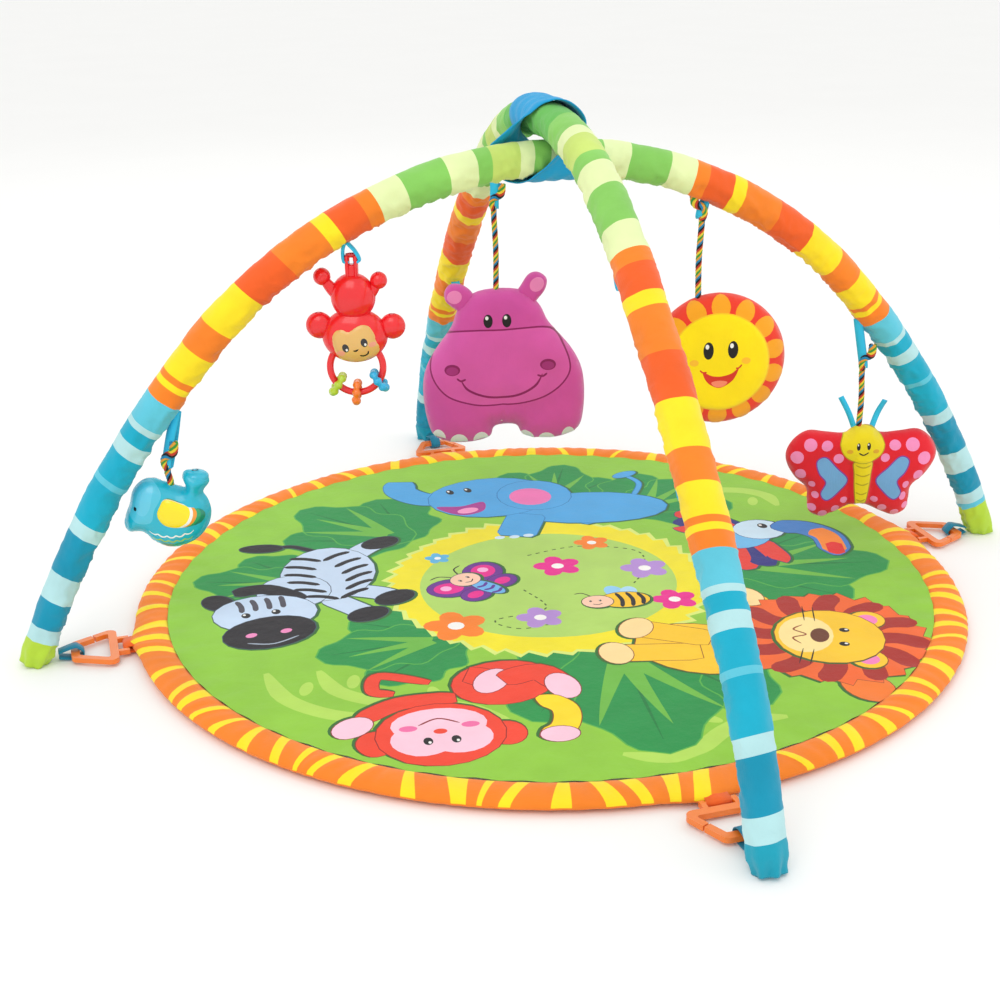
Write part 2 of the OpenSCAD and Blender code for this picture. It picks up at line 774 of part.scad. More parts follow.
mat_top_cover();
mat_padding();
mat_bottom_cover();
mat_binding();
mat_tabs();
link(0);  // link_left
link(90);  // link_front
link(180);  // link_right
link(270);  // link_back
arch_a_rod_left();
arch_a_rod_right();
arch_a_ferrule();
arch_a_end_caps();
arch_a_foam();
arch_a_sleeve();
arch_a_foot_ribbons();
arch_a_toy_loops();
arch_b_rod_front();
arch_b_rod_back();
arch_b_ferrule();
arch_b_end_caps();
arch_b_foam();
arch_b_sleeve();
arch_b_foot_ribbons();
arch_b_toy_loops();
crossing_strap();
bird_cord();
bird_left_shell();
bird_right_shell();
bird_wings();
bird_rattle_balls();
monkey_front_shell();
monkey_back_shell();
monkey_face();
monkey_handle();
bead_ring_green();
bead_ring_orange();
bead_ring_blue();
monkey_rattle_balls();
hippo_cord();
hippo_front();
hippo_back();
hippo_ears();
hippo_filling();
sun_cord();
sun_front();
sun_back();
sun_filling();
butterfly_cord();
butterfly_front();
butterfly_back();
butterfly_antennae();
butterfly_filling();
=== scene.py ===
import json
import math
import random

import bpy
import numpy as np
from mathutils import Matrix, Vector, noise
from mathutils.geometry import delaunay_2d_cdt


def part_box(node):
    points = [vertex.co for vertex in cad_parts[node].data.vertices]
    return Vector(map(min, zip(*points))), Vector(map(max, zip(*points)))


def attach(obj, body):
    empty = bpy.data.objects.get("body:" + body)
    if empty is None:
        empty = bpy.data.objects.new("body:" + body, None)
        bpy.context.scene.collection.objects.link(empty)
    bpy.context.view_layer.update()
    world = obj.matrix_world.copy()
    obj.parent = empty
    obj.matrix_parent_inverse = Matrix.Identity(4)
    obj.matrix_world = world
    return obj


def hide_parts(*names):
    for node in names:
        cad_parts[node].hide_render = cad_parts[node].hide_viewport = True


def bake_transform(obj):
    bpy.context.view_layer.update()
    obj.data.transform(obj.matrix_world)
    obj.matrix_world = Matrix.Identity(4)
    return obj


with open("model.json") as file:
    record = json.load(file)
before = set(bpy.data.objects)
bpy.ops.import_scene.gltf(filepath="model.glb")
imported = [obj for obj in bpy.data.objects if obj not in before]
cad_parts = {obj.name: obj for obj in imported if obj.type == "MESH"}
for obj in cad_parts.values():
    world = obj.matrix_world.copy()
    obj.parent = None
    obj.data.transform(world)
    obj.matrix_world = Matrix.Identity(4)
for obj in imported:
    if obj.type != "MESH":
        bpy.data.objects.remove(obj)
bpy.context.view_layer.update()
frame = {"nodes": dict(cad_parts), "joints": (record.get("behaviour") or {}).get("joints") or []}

# Activity play gym. Shapes are worked out in millimetres and turned into metres in piece().
MM = 0.001
UP = np.array([0.0, 0.0, 1.0])


# ---------- colours ----------

def linear(channel):
    return channel / 12.92 if channel <= 0.04045 else ((channel + 0.055) / 1.055) ** 2.4


def rgb(code):
    """Linear colour of a six-digit hexadecimal code."""
    return tuple(linear(int(code[i:i + 2], 16) / 255) for i in (0, 2, 4)) + (1.0,)


ORANGE = rgb("F58220")
DARK_ORANGE = rgb("EE5F1E")
YELLOW = rgb("FDE01E")
CYAN = rgb("0AA9C6")
DEEP_CYAN = rgb("0090B0")
SKY = rgb("5CC3D8")
MINT = rgb("B2DDE0")
LIME = rgb("B4D63A")
TEAL = rgb("0E9CB4")
GREEN = rgb("86C95C")
PALE_LIME = rgb("E3F0B0")
YELLOW_GREEN = rgb("C6DD6E")
LEAF_GREEN = rgb("5FB84A")
SLING_BLUE = rgb("2EC2EC")
BLUE_RIBBON = rgb("139FD2")
WHITE = rgb("F4F4F0")
BLACK = rgb("1C1A1C")


# ---------- materials ----------

def add(tree, kind, **inputs):
    """Adds a shader node. An input is a value or another node's output."""
    made = tree.nodes.new("ShaderNode" + kind)
    for key, value in inputs.items():
        socket = made.inputs[key.replace("_", " ")]
        if isinstance(value, bpy.types.NodeSocket):
            tree.links.new(value, socket)
        else:
            socket.default_value = value
    return made


def math_node(tree, operation, a, b):
    made = tree.nodes.new("ShaderNodeMath")
    made.operation = operation
    for socket, value in zip(made.inputs, (a, b)):
        if isinstance(value, bpy.types.NodeSocket):
            tree.links.new(value, socket)
        else:
            socket.default_value = value
    return made.outputs[0]


def base_material(name, colour):
    """A material whose colour is the given one, or the piece's own printed colours if it is None."""
    made = bpy.data.materials.new(name)
    made.use_nodes = True
    tree = made.node_tree
    surface = tree.nodes["Principled BSDF"]
    place = add(tree, "TexCoord").outputs["Object"]
    if colour is None:
        print_node = tree.nodes.new("ShaderNodeVertexColor")
        print_node.layer_name = "print"
        source = print_node.outputs["Color"]
    else:
        rgb_node = tree.nodes.new("ShaderNodeRGB")
        rgb_node.outputs[0].default_value = colour
        source = rgb_node.outputs[0]
    return made, tree, surface, place, source


def vary(tree, place, source, scale, low, high):
    """Multiplies a colour by soft patches of light and dark."""
    patches = add(tree, "TexNoise", Vector=place, Scale=scale, Detail=3.0)
    level = add(tree, "MapRange", Value=patches.outputs["Fac"], From_Min=0.3, From_Max=0.7, To_Min=low,
                To_Max=high)
    return add(tree, "HueSaturation", Color=source, Value=level.outputs[0]).outputs[0]


def fabric(name, colour=None, pitch=0.9, crease=0.5, rough=0.78, patches=(0.94, 1.04), sheen=0.15):
    """Woven cloth: threads at a pitch in millimetres, soft creases and uneven dye."""
    made, tree, surface, place, source = base_material(name, colour)
    tree.links.new(vary(tree, place, source, 28, *patches), surface.inputs["Base Color"])
    threads = []
    for direction in ("X", "Y", "Z"):
        wave = add(tree, "TexWave", Vector=place, Scale=2 * math.pi / (20 * pitch * MM), Distortion=0.6)
        wave.bands_direction = direction
        threads.append(wave.outputs["Fac"])
    weave = math_node(tree, "ADD", math_node(tree, "ADD", threads[0], threads[1]), threads[2])
    folds = add(tree, "TexNoise", Vector=place, Scale=55.0, Detail=5.0, Roughness=0.55)
    fine = add(tree, "Bump", Strength=0.35, Distance=0.12 * MM, Height=weave)
    soft = add(tree, "Bump", Strength=crease, Distance=2.2 * MM, Height=folds.outputs["Fac"],
               Normal=fine.outputs[0])
    tree.links.new(soft.outputs[0], surface.inputs["Normal"])
    dull = add(tree, "MapRange", Value=folds.outputs["Fac"], To_Min=rough - 0.08, To_Max=rough + 0.1)
    tree.links.new(dull.outputs[0], surface.inputs["Roughness"])
    surface.inputs["Sheen Weight"].default_value = sheen
    surface.inputs["Specular IOR Level"].default_value = 0.3
    return made


def plastic(name, colour=None, rough=0.22, peel=0.12, glow=0.06):
    """Moulded plastic: a slightly uneven gloss over a faint mould texture."""
    made, tree, surface, place, source = base_material(name, colour)
    tree.links.new(vary(tree, place, source, 35, 0.97, 1.03), surface.inputs["Base Color"])
    skin = add(tree, "TexNoise", Vector=place, Scale=420.0, Detail=2.0)
    bump = add(tree, "Bump", Strength=peel, Distance=0.3 * MM, Height=skin.outputs["Fac"])
    tree.links.new(bump.outputs[0], surface.inputs["Normal"])
    wear = add(tree, "TexNoise", Vector=place, Scale=60.0, Detail=4.0)
    gloss = add(tree, "MapRange", Value=wear.outputs["Fac"], To_Min=rough - 0.06, To_Max=rough + 0.1)
    tree.links.new(gloss.outputs[0], surface.inputs["Roughness"])
    surface.inputs["Coat Weight"].default_value = 0.35
    surface.inputs["Subsurface Weight"].default_value = glow
    surface.inputs["Subsurface Scale"].default_value = 2 * MM
    return made


def metal(name):
    made, tree, surface, place, source = base_material(name, rgb("B9BCC0"))
    tree.links.new(vary(tree, place, source, 90, 0.9, 1.05), surface.inputs["Base Color"])
    brushed = add(tree, "TexNoise", Vector=place, Scale=700.0, Detail=2.0)
    bump = add(tree, "Bump", Strength=0.2, Distance=0.1 * MM, Height=brushed.outputs["Fac"])
    tree.links.new(bump.outputs[0], surface.inputs["Normal"])
    surface.inputs["Metallic"].default_value = 1.0
    surface.inputs["Roughness"].default_value = 0.35
    return made


PRINT_FABRIC = fabric("printed_fabric")
SLEEVE_FABRIC = fabric("sleeve_fabric", crease=0.35, patches=(0.93, 1.05), sheen=0.2)
PLUSH_FABRIC = fabric("plush_fabric", pitch=0.7, crease=0.5, rough=0.85, sheen=0.35)
RIBBON_FABRIC = fabric("ribbon_fabric", SLING_BLUE, pitch=0.6, crease=0.3, rough=0.6)
TEAL_RIBBON = fabric("teal_ribbon", rgb("127F9E"), pitch=0.6, crease=0.3, rough=0.6)
STRAP_FABRIC = fabric("strap_fabric", rgb("0A9ED6"), pitch=0.9, crease=0.9, rough=0.7)
WEBBING = fabric("webbing", rgb("F0651F"), pitch=1.5, crease=0.2)
UNDER_FABRIC = fabric("under_fabric", rgb("E8702A"), pitch=1.2)
WADDING = fabric("wadding", WHITE, pitch=2.5, crease=1.0, rough=0.95)
FOAM = fabric("foam_skin", rgb("EDECE6"), pitch=2.0, crease=0.9, rough=0.95)
CORD_YARN = fabric("cord_yarn", None, pitch=0.5, crease=0.6, rough=0.85)
MOULDED = plastic("moulded_parts")
LINK_PLASTIC = plastic("link_plastic", rgb("F07A1E"), rough=0.36, peel=0.25)
ROD_PLASTIC = plastic("rod_plastic", rgb("2A2B2E"), rough=0.4)
STEEL = metal("ferrule_steel")


# ---------- meshes ----------

class Shape:
    """Points in millimetres, faces, and one colour per face, gathered from simple parts."""

    def __init__(self):
        self.points = []
        self.faces = []
        self.colours = []

    def add(self, points, faces, colour):
        """colour is one colour, or a list with one for each face."""
        base = len(self.points)
        self.points.extend(tuple(p) for p in points)
        self.faces.extend(tuple(i + base for i in f) for f in faces)
        self.colours.extend(colour if isinstance(colour, list) else [colour] * len(faces))
        return self


def piece(name, shape, material, body, cad=(), smooth=True):
    """Turns a shape into a shown piece that stands for CAD nodes and rides on a body, if one is given."""
    mesh = bpy.data.meshes.new(name)
    mesh.from_pydata([tuple(v) for v in np.asarray(shape.points, float) * MM], [], shape.faces)
    layer = mesh.color_attributes.new("print", "FLOAT_COLOR", "CORNER")
    counts = [len(f) for f in shape.faces]
    layer.data.foreach_set("color", np.repeat(np.array(shape.colours, float), counts, axis=0).ravel())
    mesh.polygons.foreach_set("use_smooth", [smooth] * len(shape.faces))
    mesh.materials.append(material)
    mesh.update()
    made = bpy.data.objects.new(name, mesh)
    bpy.context.scene.collection.objects.link(made)
    if body:
        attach(made, body)
    if cad:
        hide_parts(*cad)
    return made


def grid_faces(rows, columns, wrap_rows=False):
    """Quads over rings of points; every ring is closed."""
    faces = []
    for r in range(rows if wrap_rows else rows - 1):
        a = r * columns
        b = (r + 1) % rows * columns
        for c in range(columns):
            d = (c + 1) % columns
            faces.append((a + c, a + d, b + d, b + c))
    return faces


def unit(v):
    v = np.asarray(v, float)
    return v / np.linalg.norm(v)


def run_along(path):
    """Distance along a path at each of its points."""
    return np.concatenate([[0], np.cumsum(np.linalg.norm(np.diff(path, axis=0), axis=1))])


def path_frames(path, closed=False):
    """Tangents, normals and binormals that turn as little as possible along a path."""
    path = np.asarray(path, float)
    if closed:
        tangents = np.roll(path, -1, 0) - np.roll(path, 1, 0)
    else:
        tangents = np.gradient(path, axis=0)
    tangents /= np.linalg.norm(tangents, axis=1)[:, None]
    start = UP if abs(tangents[0][2]) < 0.9 else np.array([1.0, 0, 0])
    normals = [unit(np.cross(np.cross(tangents[0], start), tangents[0]))]
    for t in tangents[1:]:
        n = normals[-1] - t * (normals[-1] @ t)
        normals.append(unit(n))
    normals = np.array(normals)
    return tangents, normals, np.cross(tangents, normals)


def sweep(path, radius, sides=16, flat=1.0, colour=WHITE, closed=False, frames=None):
    """A tube along a path. radius is a number or one per point; flat squeezes it along the binormal."""
    path = np.asarray(path, float)
    _, normals, binormals = frames or path_frames(path, closed)
    radius = np.broadcast_to(np.asarray(radius, float), (len(path),))
    angles = np.arange(sides) * 2 * math.pi / sides
    ring = (np.cos(angles)[None, :, None] * normals[:, None, :]
            + np.sin(angles)[None, :, None] * binormals[:, None, :] * flat)
    points = (path[:, None, :] + ring * radius[:, None, None]).reshape(-1, 3)
    faces = grid_faces(len(path), sides, closed)
    if not closed:
        faces.append(tuple(range(sides))[::-1])
        faces.append(tuple(range(len(points) - sides, len(points))))
    return Shape().add(points, faces, colour)


def ribbon(path, across, width, thick, colour):
    """A flat strip along a path; across is its width direction, one for all points or one each."""
    path = np.asarray(path, float)
    tangents = path_frames(path)[0]
    across = np.broadcast_to(np.asarray(across, float), path.shape)
    width = np.broadcast_to(np.asarray(width, float), (len(path),))[:, None]
    side = across - tangents * np.sum(across * tangents, axis=1)[:, None]
    side /= np.linalg.norm(side, axis=1)[:, None]
    out = np.cross(tangents, side)
    rim = 0.35 * thick
    corners = [(-0.5, -1), (0, -1.15), (0.5, -1), (0.5, 1), (0, 1.15), (-0.5, 1)]
    rings = [path + side * (width * x) + out * (y * (thick / 2 if x == 0 else rim)) for x, y in corners]
    points = np.stack(rings, axis=1).reshape(-1, 3)
    faces = grid_faces(len(path), len(corners))
    faces.append(tuple(range(len(corners)))[::-1])
    faces.append(tuple(range(len(points) - len(corners), len(points))))
    return Shape().add(points, faces, colour)


def join(*shapes):
    """One shape from several, each keeping its colours."""
    whole = Shape()
    for s in shapes:
        whole.add(s.points, s.faces, s.colours)
    return whole


def moved(shape, matrix):
    """The shape with its points sent through a function on an array of points."""
    made = Shape()
    made.points = [tuple(p) for p in matrix(np.asarray(shape.points, float))]
    made.faces = shape.faces
    made.colours = shape.colours
    return made


def curve_through(points, steps=8, closed=False):
    """Catmull-Rom curve through a few points."""
    p = np.asarray(points, float)
    n = len(p)
    if closed:
        index = [[(i + k) % n for k in (-1, 0, 1, 2)] for i in range(n)]
    else:
        index = [[min(max(i + k, 0), n - 1) for k in (-1, 0, 1, 2)] for i in range(n - 1)]
    made = []
    for a, b, c, d in index:
        for s in range(steps):
            t = s / steps
            made.append(0.5 * (2 * p[b] + (p[c] - p[a]) * t + (2 * p[a] - 5 * p[b] + 4 * p[c] - p[d]) * t * t
                               + (3 * p[b] - p[a] - 3 * p[c] + p[d]) * t ** 3))
    if not closed:
        made.append(p[-1])
    return np.array(made)


def wobble(x, y, z=0.0):
    """Smooth seeded noise between about -1 and 1."""
    return noise.noise(Vector((x, y, z)))


def smoothstep(t):
    t = np.clip(t, 0, 1)
    return t * t * (3 - 2 * t)


# ---------- arches ----------

SLEEVE_R = 17.4          # the CAD sleeve's radius
CREASE_CLEARANCE = 0.8   # least distance from the foam to the sleeve over it
FOOT_LEN = 30            # straight length of a leg above the floor


class Arch:
    """Centreline of an arch: a straight foot, then bends that meet at the crown."""

    def __init__(self, foot, lean, bends, turn):
        self.foot = foot
        self.direction = np.array([math.cos(turn), math.sin(turn), 0.0])
        slope = math.radians(lean)
        u = FOOT_LEN * math.cos(slope)
        z = FOOT_LEN * math.sin(slope)
        length = FOOT_LEN
        self.parts = [(0.0, 0.0, 0.0, slope, 0.0)]
        remaining = [(r, math.radians(w)) for r, w in bends]
        while True:
            r, w = remaining.pop(0) if remaining else ((foot - u) / math.sin(slope), slope)
            self.parts.append((length, u, z, slope, r))
            u += r * (math.sin(slope) - math.sin(slope - w))
            z += r * (math.cos(slope - w) - math.cos(slope))
            length += r * w
            slope -= w
            if slope < 1e-6:
                break
        self.half = length
        self.crown = z

    def at(self, s):
        """Point and slope at a distance along the arch from the near foot, over the crown to the far one."""
        side = -1 if s <= self.half else 1
        d = min(s, 2 * self.half - s)
        start, u, z, slope, r = [p for p in self.parts if p[0] <= d + 1e-9][-1]
        if r == 0:
            u += (d - start) * math.cos(slope)
            z += (d - start) * math.sin(slope)
            now = slope
        else:
            now = slope - (d - start) / r
            u += r * (math.sin(slope) - math.sin(now))
            z += r * (math.cos(now) - math.cos(slope))
        return self.direction * side * (self.foot - u) + UP * z, -side * now

    def frame(self, s):
        """Point, tangent, outward normal and sideways direction."""
        point, slope = self.at(s)
        tangent = self.direction * math.cos(slope) + UP * math.sin(slope)
        outward = UP * math.cos(slope) - self.direction * math.sin(slope)
        return point, tangent, outward, np.cross(tangent, outward)

    def at_slope(self, slope, side):
        """Distance along the arch where it has a given slope in degrees, on the near or the far side."""
        steps = np.linspace(0, self.half, 600)
        slopes = [abs(math.degrees(self.at(s)[1])) for s in steps]
        s = float(np.interp(-slope, [-v for v in slopes], steps))
        return s if side < 0 else 2 * self.half - s


# Each arch: distance of its foot from the middle, lean of its leg and bends as (radius, degrees), all as in
# the CAD. The last bend, up to the crown, follows from these.
ARCH_A = Arch(515, 67, [(945, 19.5), (465, 35)], 0.0)
ARCH_B = Arch(519, 72, [(430, 15.7), (1186, 16), (592, 10)], math.pi / 2)

# Sleeve print of one leg. Blues run down from the edge where the orange begins, and warm colours and then
# greens run up from it. Every stripe has one of four widths.
THIN = 6.0
SLIM = 14.0
WIDE = 28.0
BROAD = 42.0
BLUES_DOWN = [
    (SKY, WIDE), (MINT, THIN), (CYAN, SLIM), (MINT, SLIM), (CYAN, WIDE), (SKY, THIN), (CYAN, BROAD),
    (MINT, SLIM), (DEEP_CYAN, BROAD), (MINT, WIDE), (DEEP_CYAN, WIDE), (MINT, SLIM), (SKY, THIN)]
WARM_UP = [
    (ORANGE, SLIM), (YELLOW, THIN), (ORANGE, THIN), (YELLOW, WIDE), (ORANGE, WIDE), (YELLOW, BROAD),
    (DARK_ORANGE, BROAD), (ORANGE, BROAD), (YELLOW, SLIM), (DARK_ORANGE, WIDE), (ORANGE, SLIM)]
GREENS_UP = [
    (PALE_LIME, WIDE), (GREEN, BROAD), (PALE_LIME, WIDE), (GREEN, SLIM), (YELLOW_GREEN, WIDE),
    (PALE_LIME, SLIM), (GREEN, WIDE)]
FOOT_BAND = 26.0         # plain colour at the bottom of each leg
ARCH_A_BLUES = (290, 310)    # from each foot of the arch up to the orange
ARCH_B_BLUES = (240, 220)


def stripe(distance, orange_start, foot_colour):
    """Print colour at a distance from the foot."""
    if distance < FOOT_BAND:
        return foot_colour
    left = abs(distance - orange_start)
    for colour, width in BLUES_DOWN if distance < orange_start else WARM_UP + GREENS_UP:
        if left < width:
            return colour
        left -= width
    return foot_colour if distance < orange_start else LEAF_GREEN


def sleeve_radius(s, arch):
    """The padding is fuller towards the crown and tapers to a gathered foot."""
    d = min(s, 2 * arch.half - s)
    full = 16.2 + 2.1 * smoothstep((d - 40) / 320) - 0.9 * smoothstep((d - arch.half + 70) / 50)
    gather = 0.84 + 0.16 * smoothstep((d - 1) / 16)
    return full * gather


def foam_radius(s, arch):
    """The foam stays inside the sleeve's deepest crease."""
    return 0.86 * sleeve_radius(s, arch) - 1.6


def sleeve_wrinkle(s, angle, arch, seed):
    """Creases that run round the sleeve, deepest on its inner side, and pleats at the feet."""
    d = min(s, 2 * arch.half - s)
    inner = 0.5 - 0.5 * math.cos(angle)
    x = math.cos(angle) * 1.3
    y = math.sin(angle) * 1.3
    crease = 1.2 * abs(wobble(x + seed, y, s / 15)) + 0.6 * abs(wobble(x, y + seed, s / 6))
    lumps = wobble(x + seed, y + 7, s / 46)
    pleats = math.cos(7 * angle + 2 * wobble(s / 20, seed)) * math.exp(-max(d - 4, 0) / 14)
    seam = math.exp(-((abs(angle - math.pi) - 0.05) / 0.06) ** 2)
    return -(0.7 + 2.9 * inner) * crease + 1.1 * lumps + 1.5 * pleats - 0.9 * seam


def sleeve(name, arch, starts, foot_colour, body, seed, cad):
    """starts: distance from each foot to where its orange print begins."""
    step = 2.0
    sides = 56
    count = int(2 * arch.half / step)
    rings = []
    for i in range(count + 1):
        s = 2 * arch.half * i / count
        point, tangent, outward, sideways = arch.frame(s)
        r = sleeve_radius(s, arch)
        ring = []
        for k in range(sides):
            angle = 2 * math.pi * k / sides
            reach = max(r + sleeve_wrinkle(s, angle, arch, seed), foam_radius(s, arch) + CREASE_CLEARANCE)
            p = point + (outward * math.cos(angle) + sideways * math.sin(angle)) * reach
            p = p + tangent * (2.4 * math.sin(angle + s / 90) * smoothstep(min(s, 2 * arch.half - s) / 40))
            p[2] = max(p[2], 0.5)
            ring.append(p)
        rings.append(ring)
    faces = grid_faces(count + 1, sides)
    colours = []
    for i in range(count):
        s = 2 * arch.half * (i + 0.5) / count
        near = s < arch.half
        distance = s if near else 2 * arch.half - s
        start = starts[0] if near else starts[1]
        colours.extend([stripe(distance, start, foot_colour)] * sides)
    shape = Shape().add(np.array(rings).reshape(-1, 3), faces, colours)
    for ring_index in (0, count):
        base = ring_index * sides
        middle = np.mean(rings[ring_index], axis=0)
        middle[2] = 1.0
        shape.points.append(tuple(middle))
        centre = len(shape.points) - 1
        for k in range(sides):
            edge = (base + k, base + (k + 1) % sides, centre)
            shape.faces.append(edge if ring_index else edge[::-1])
            shape.colours.append(foot_colour)
    return piece(name, shape, SLEEVE_FABRIC, body, cad)


def foam_tube(name, arch, body, cad):
    """The soft tube inside a sleeve."""
    stations = np.linspace(6, 2 * arch.half - 6, 240)
    framed = [arch.frame(s) for s in stations]
    frames = tuple(np.array([f[k] for f in framed]) for k in (1, 2, 3))
    girth = [foam_radius(s, arch) for s in stations]
    shape = sweep([f[0] for f in framed], girth, 28, colour=WHITE, frames=frames)
    shape.points = [(x, y, max(z, 2.5)) for x, y, z in shape.points]
    piece(name, shape, FOAM, body, cad)


foam_tube("arch_a_foam_tube", ARCH_A, "arch_a", ["arch_a_foam"])
foam_tube("arch_b_foam_tube", ARCH_B, "arch_b", ["arch_b_foam"])
sleeve("arch_a_printed_sleeve", ARCH_A, ARCH_A_BLUES, LIME, "arch_a", 3.1, ["arch_a_sleeve"])
sleeve("arch_b_printed_sleeve", ARCH_B, ARCH_B_BLUES, TEAL, "arch_b", 8.4, ["arch_b_sleeve"])


# ---------- flat prints ----------

def area_of(points):
    p = np.asarray(points, float)
    q = np.roll(p, -1, 0)
    return 0.5 * np.sum(p[:, 0] * q[:, 1] - q[:, 0] * p[:, 1])


def counter_clockwise(points):
    p = np.asarray(points, float)
    return p if area_of(p) > 0 else p[::-1]


def edge_distance(points, outline):
    """Distance of each point from a closed outline."""
    p = np.asarray(points, float)[:, None, :]
    a = np.asarray(outline, float)
    b = np.roll(a, -1, 0)
    run = b - a
    t = np.clip(np.sum((p - a) * run, axis=2) / np.maximum(np.sum(run * run, axis=1), 1e-9), 0, 1)
    return np.sqrt(np.min(np.sum((p - a - t[:, :, None] * run) ** 2, axis=2), axis=1))


def inside(points, outline):
    """Which points lie inside a closed outline."""
    x, y = np.asarray(points, float).T[:, :, None]
    a = np.asarray(outline, float)
    b = np.roll(a, -1, 0)
    crosses = (a[:, 1] > y) != (b[:, 1] > y)
    rise = np.where(np.abs(b[:, 1] - a[:, 1]) < 1e-9, 1e-9, b[:, 1] - a[:, 1])
    at = a[:, 0] + (y - a[:, 1]) * (b[:, 0] - a[:, 0]) / rise
    return np.sum(crosses & (x < at), axis=1) % 2 == 1


def staggered_grid(outline, spacing):
    """Points of a triangular grid inside an outline, clear of its edge."""
    p = np.asarray(outline, float)
    low, high = p.min(0), p.max(0)
    rows = np.arange(low[1], high[1], spacing * 0.87)
    points = [(x + (r % 2) * spacing / 2, y) for r, y in enumerate(rows)
              for x in np.arange(low[0], high[0], spacing)]
    points = np.array(points)
    points = points[inside(points, p)]
    return points[edge_distance(points, p) > 0.5 * spacing]


def clear_of_art(points, art, spacing):
    for polygon, _ in art:
        low, high = polygon.min(0) - spacing, polygon.max(0) + spacing
        near = np.all((points > low) & (points < high), axis=1)
        keep = ~near
        keep[near] = edge_distance(points[near], polygon) > 0.3 * spacing if near.any() else True
        points = points[keep]
    return points


def flat_print(outline, base, art, spacing):
    """Splits an outline into triangles along the edges of its art. Later art covers earlier art.
    Gives the points, the triangles and a colour for each triangle."""
    art = [(counter_clockwise(p), c) for p, c in art]
    outline = counter_clockwise(outline)
    grid = clear_of_art(staggered_grid(outline, spacing), art, spacing)
    points = [Vector(p) for p in outline]
    faces = [list(range(len(points)))]
    for polygon, _ in art:
        faces.append(list(range(len(points), len(points) + len(polygon))))
        points.extend(Vector(p) for p in polygon)
    points.extend(Vector(p) for p in grid)
    found = delaunay_2d_cdt(points, [], faces, 1, 1e-4, True)
    paints = [base] + [c for _, c in art]
    kept = [(tuple(f), paints[max(o)]) for f, o in zip(found[2], found[5]) if 0 in o]
    return np.array([tuple(v) for v in found[0]]), [f for f, _ in kept], [c for _, c in kept]


def oval(x, y, rx, ry, turn=0.0, count=20):
    a = np.arange(count) * 2 * math.pi / count
    c, s = math.cos(math.radians(turn)), math.sin(math.radians(turn))
    px, py = rx * np.cos(a), ry * np.sin(a)
    return np.stack([x + px * c - py * s, y + px * s + py * c], axis=1)


def blob(points, steps=5):
    return curve_through(points, steps, closed=True)


def stroke(points, width, steps=6, ends=0.35):
    """Polygon of a brush line through points; it narrows towards its ends."""
    line = curve_through(points, steps)
    along = np.gradient(line, axis=0)
    along /= np.maximum(np.linalg.norm(along, axis=1), 1e-9)[:, None]
    across = np.stack([-along[:, 1], along[:, 0]], axis=1)
    t = np.linspace(0, 1, len(line))
    half = width / 2 * (ends + (1 - ends) * np.clip(np.sin(math.pi * t) * 2.2, 0, 1))
    return np.concatenate([line + across * half[:, None], (line - across * half[:, None])[::-1]])


def grown(points, amount):
    """A smooth closed outline moved outwards by an amount."""
    p = counter_clockwise(points)
    along = np.roll(p, -1, 0) - np.roll(p, 1, 0)
    along /= np.maximum(np.linalg.norm(along, axis=1), 1e-9)[:, None]
    return p + np.stack([along[:, 1], -along[:, 0]], axis=1) * amount


def both_sides(half):
    """A symmetric outline from its right half."""
    return list(half) + [(-x, y) for x, y in reversed(half)]


# ---------- toy places ----------

PIVOT = {j["name"]: np.array(j["pos_m"]) / MM for j in frame["joints"] if "pos_m" in j}
EYE_DROP = 7.1           # from the middle of a ribbon loop down to the swing axis
FACE_TURN = math.radians(-16)
TOY_RIGHT = np.array([math.cos(FACE_TURN), math.sin(FACE_TURN), 0.0])
TOY_FRONT = np.array([math.sin(FACE_TURN), -math.cos(FACE_TURN), 0.0])


def loop_middle(joint):
    """Middle of the ribbon loop that a toy hangs in."""
    return PIVOT[joint] + UP * EYE_DROP


def toy_place(joint, x, drop):
    """Sends toy coordinates (right, up, front) to the row frame; the toy hangs drop below its loop."""
    hang = loop_middle(joint)

    def place(points):
        p = np.asarray(points, float)
        right = p[:, 0] + x
        up = p[:, 1] - drop
        return hang + right[:, None] * TOY_RIGHT + up[:, None] * UP + p[:, 2:3] * TOY_FRONT

    return place


BIRD = toy_place("bird_swing", -4.5, 57.5)
HIPPO = toy_place("hippo_swing", 5.6, 183.5)
SUN = toy_place("sun_swing", 21.6, 151)
BUTTERFLY = toy_place("butterfly_swing", 4.5, 123)
MONKEY = toy_place("monkey_swing", 0, 87 - 8.5 + EYE_DROP)


# ---------- plush toys ----------

def inflate(toy, pressure, cap):
    """Lets the cover swell over its filling as cloth does, moving no point further than cap millimetres."""
    mesh = toy.data
    rest = np.zeros(len(mesh.vertices) * 3)
    mesh.vertices.foreach_get("co", rest)
    cloth = toy.modifiers.new("cloth", "CLOTH")
    cloth.settings.use_pressure = True
    cloth.settings.uniform_pressure_force = pressure
    cloth.settings.tension_stiffness = 30
    cloth.settings.compression_stiffness = 30
    cloth.settings.bending_stiffness = 0.3
    cloth.settings.effector_weights.gravity = 0
    scene = bpy.context.scene
    for step in range(1, 21):
        scene.frame_set(step)
    swollen = toy.evaluated_get(bpy.context.evaluated_depsgraph_get()).data
    after = np.zeros(len(rest))
    swollen.vertices.foreach_get("co", after)
    toy.modifiers.remove(cloth)
    scene.frame_set(1)
    move = (after - rest).reshape(-1, 3)
    size = np.linalg.norm(move, axis=1)[:, None]
    limit = cap * MM
    move *= np.tanh(size / limit) * limit / np.maximum(size, 1e-9)
    mesh.vertices.foreach_set("co", rest + move.ravel())
    mesh.update()


def crown(distance, width):
    """Height share of a stuffed panel at a distance from its seam."""
    t = np.clip(distance / width, 0, 1)
    return np.sqrt(np.maximum(1 - (1 - t) ** 2, 0))


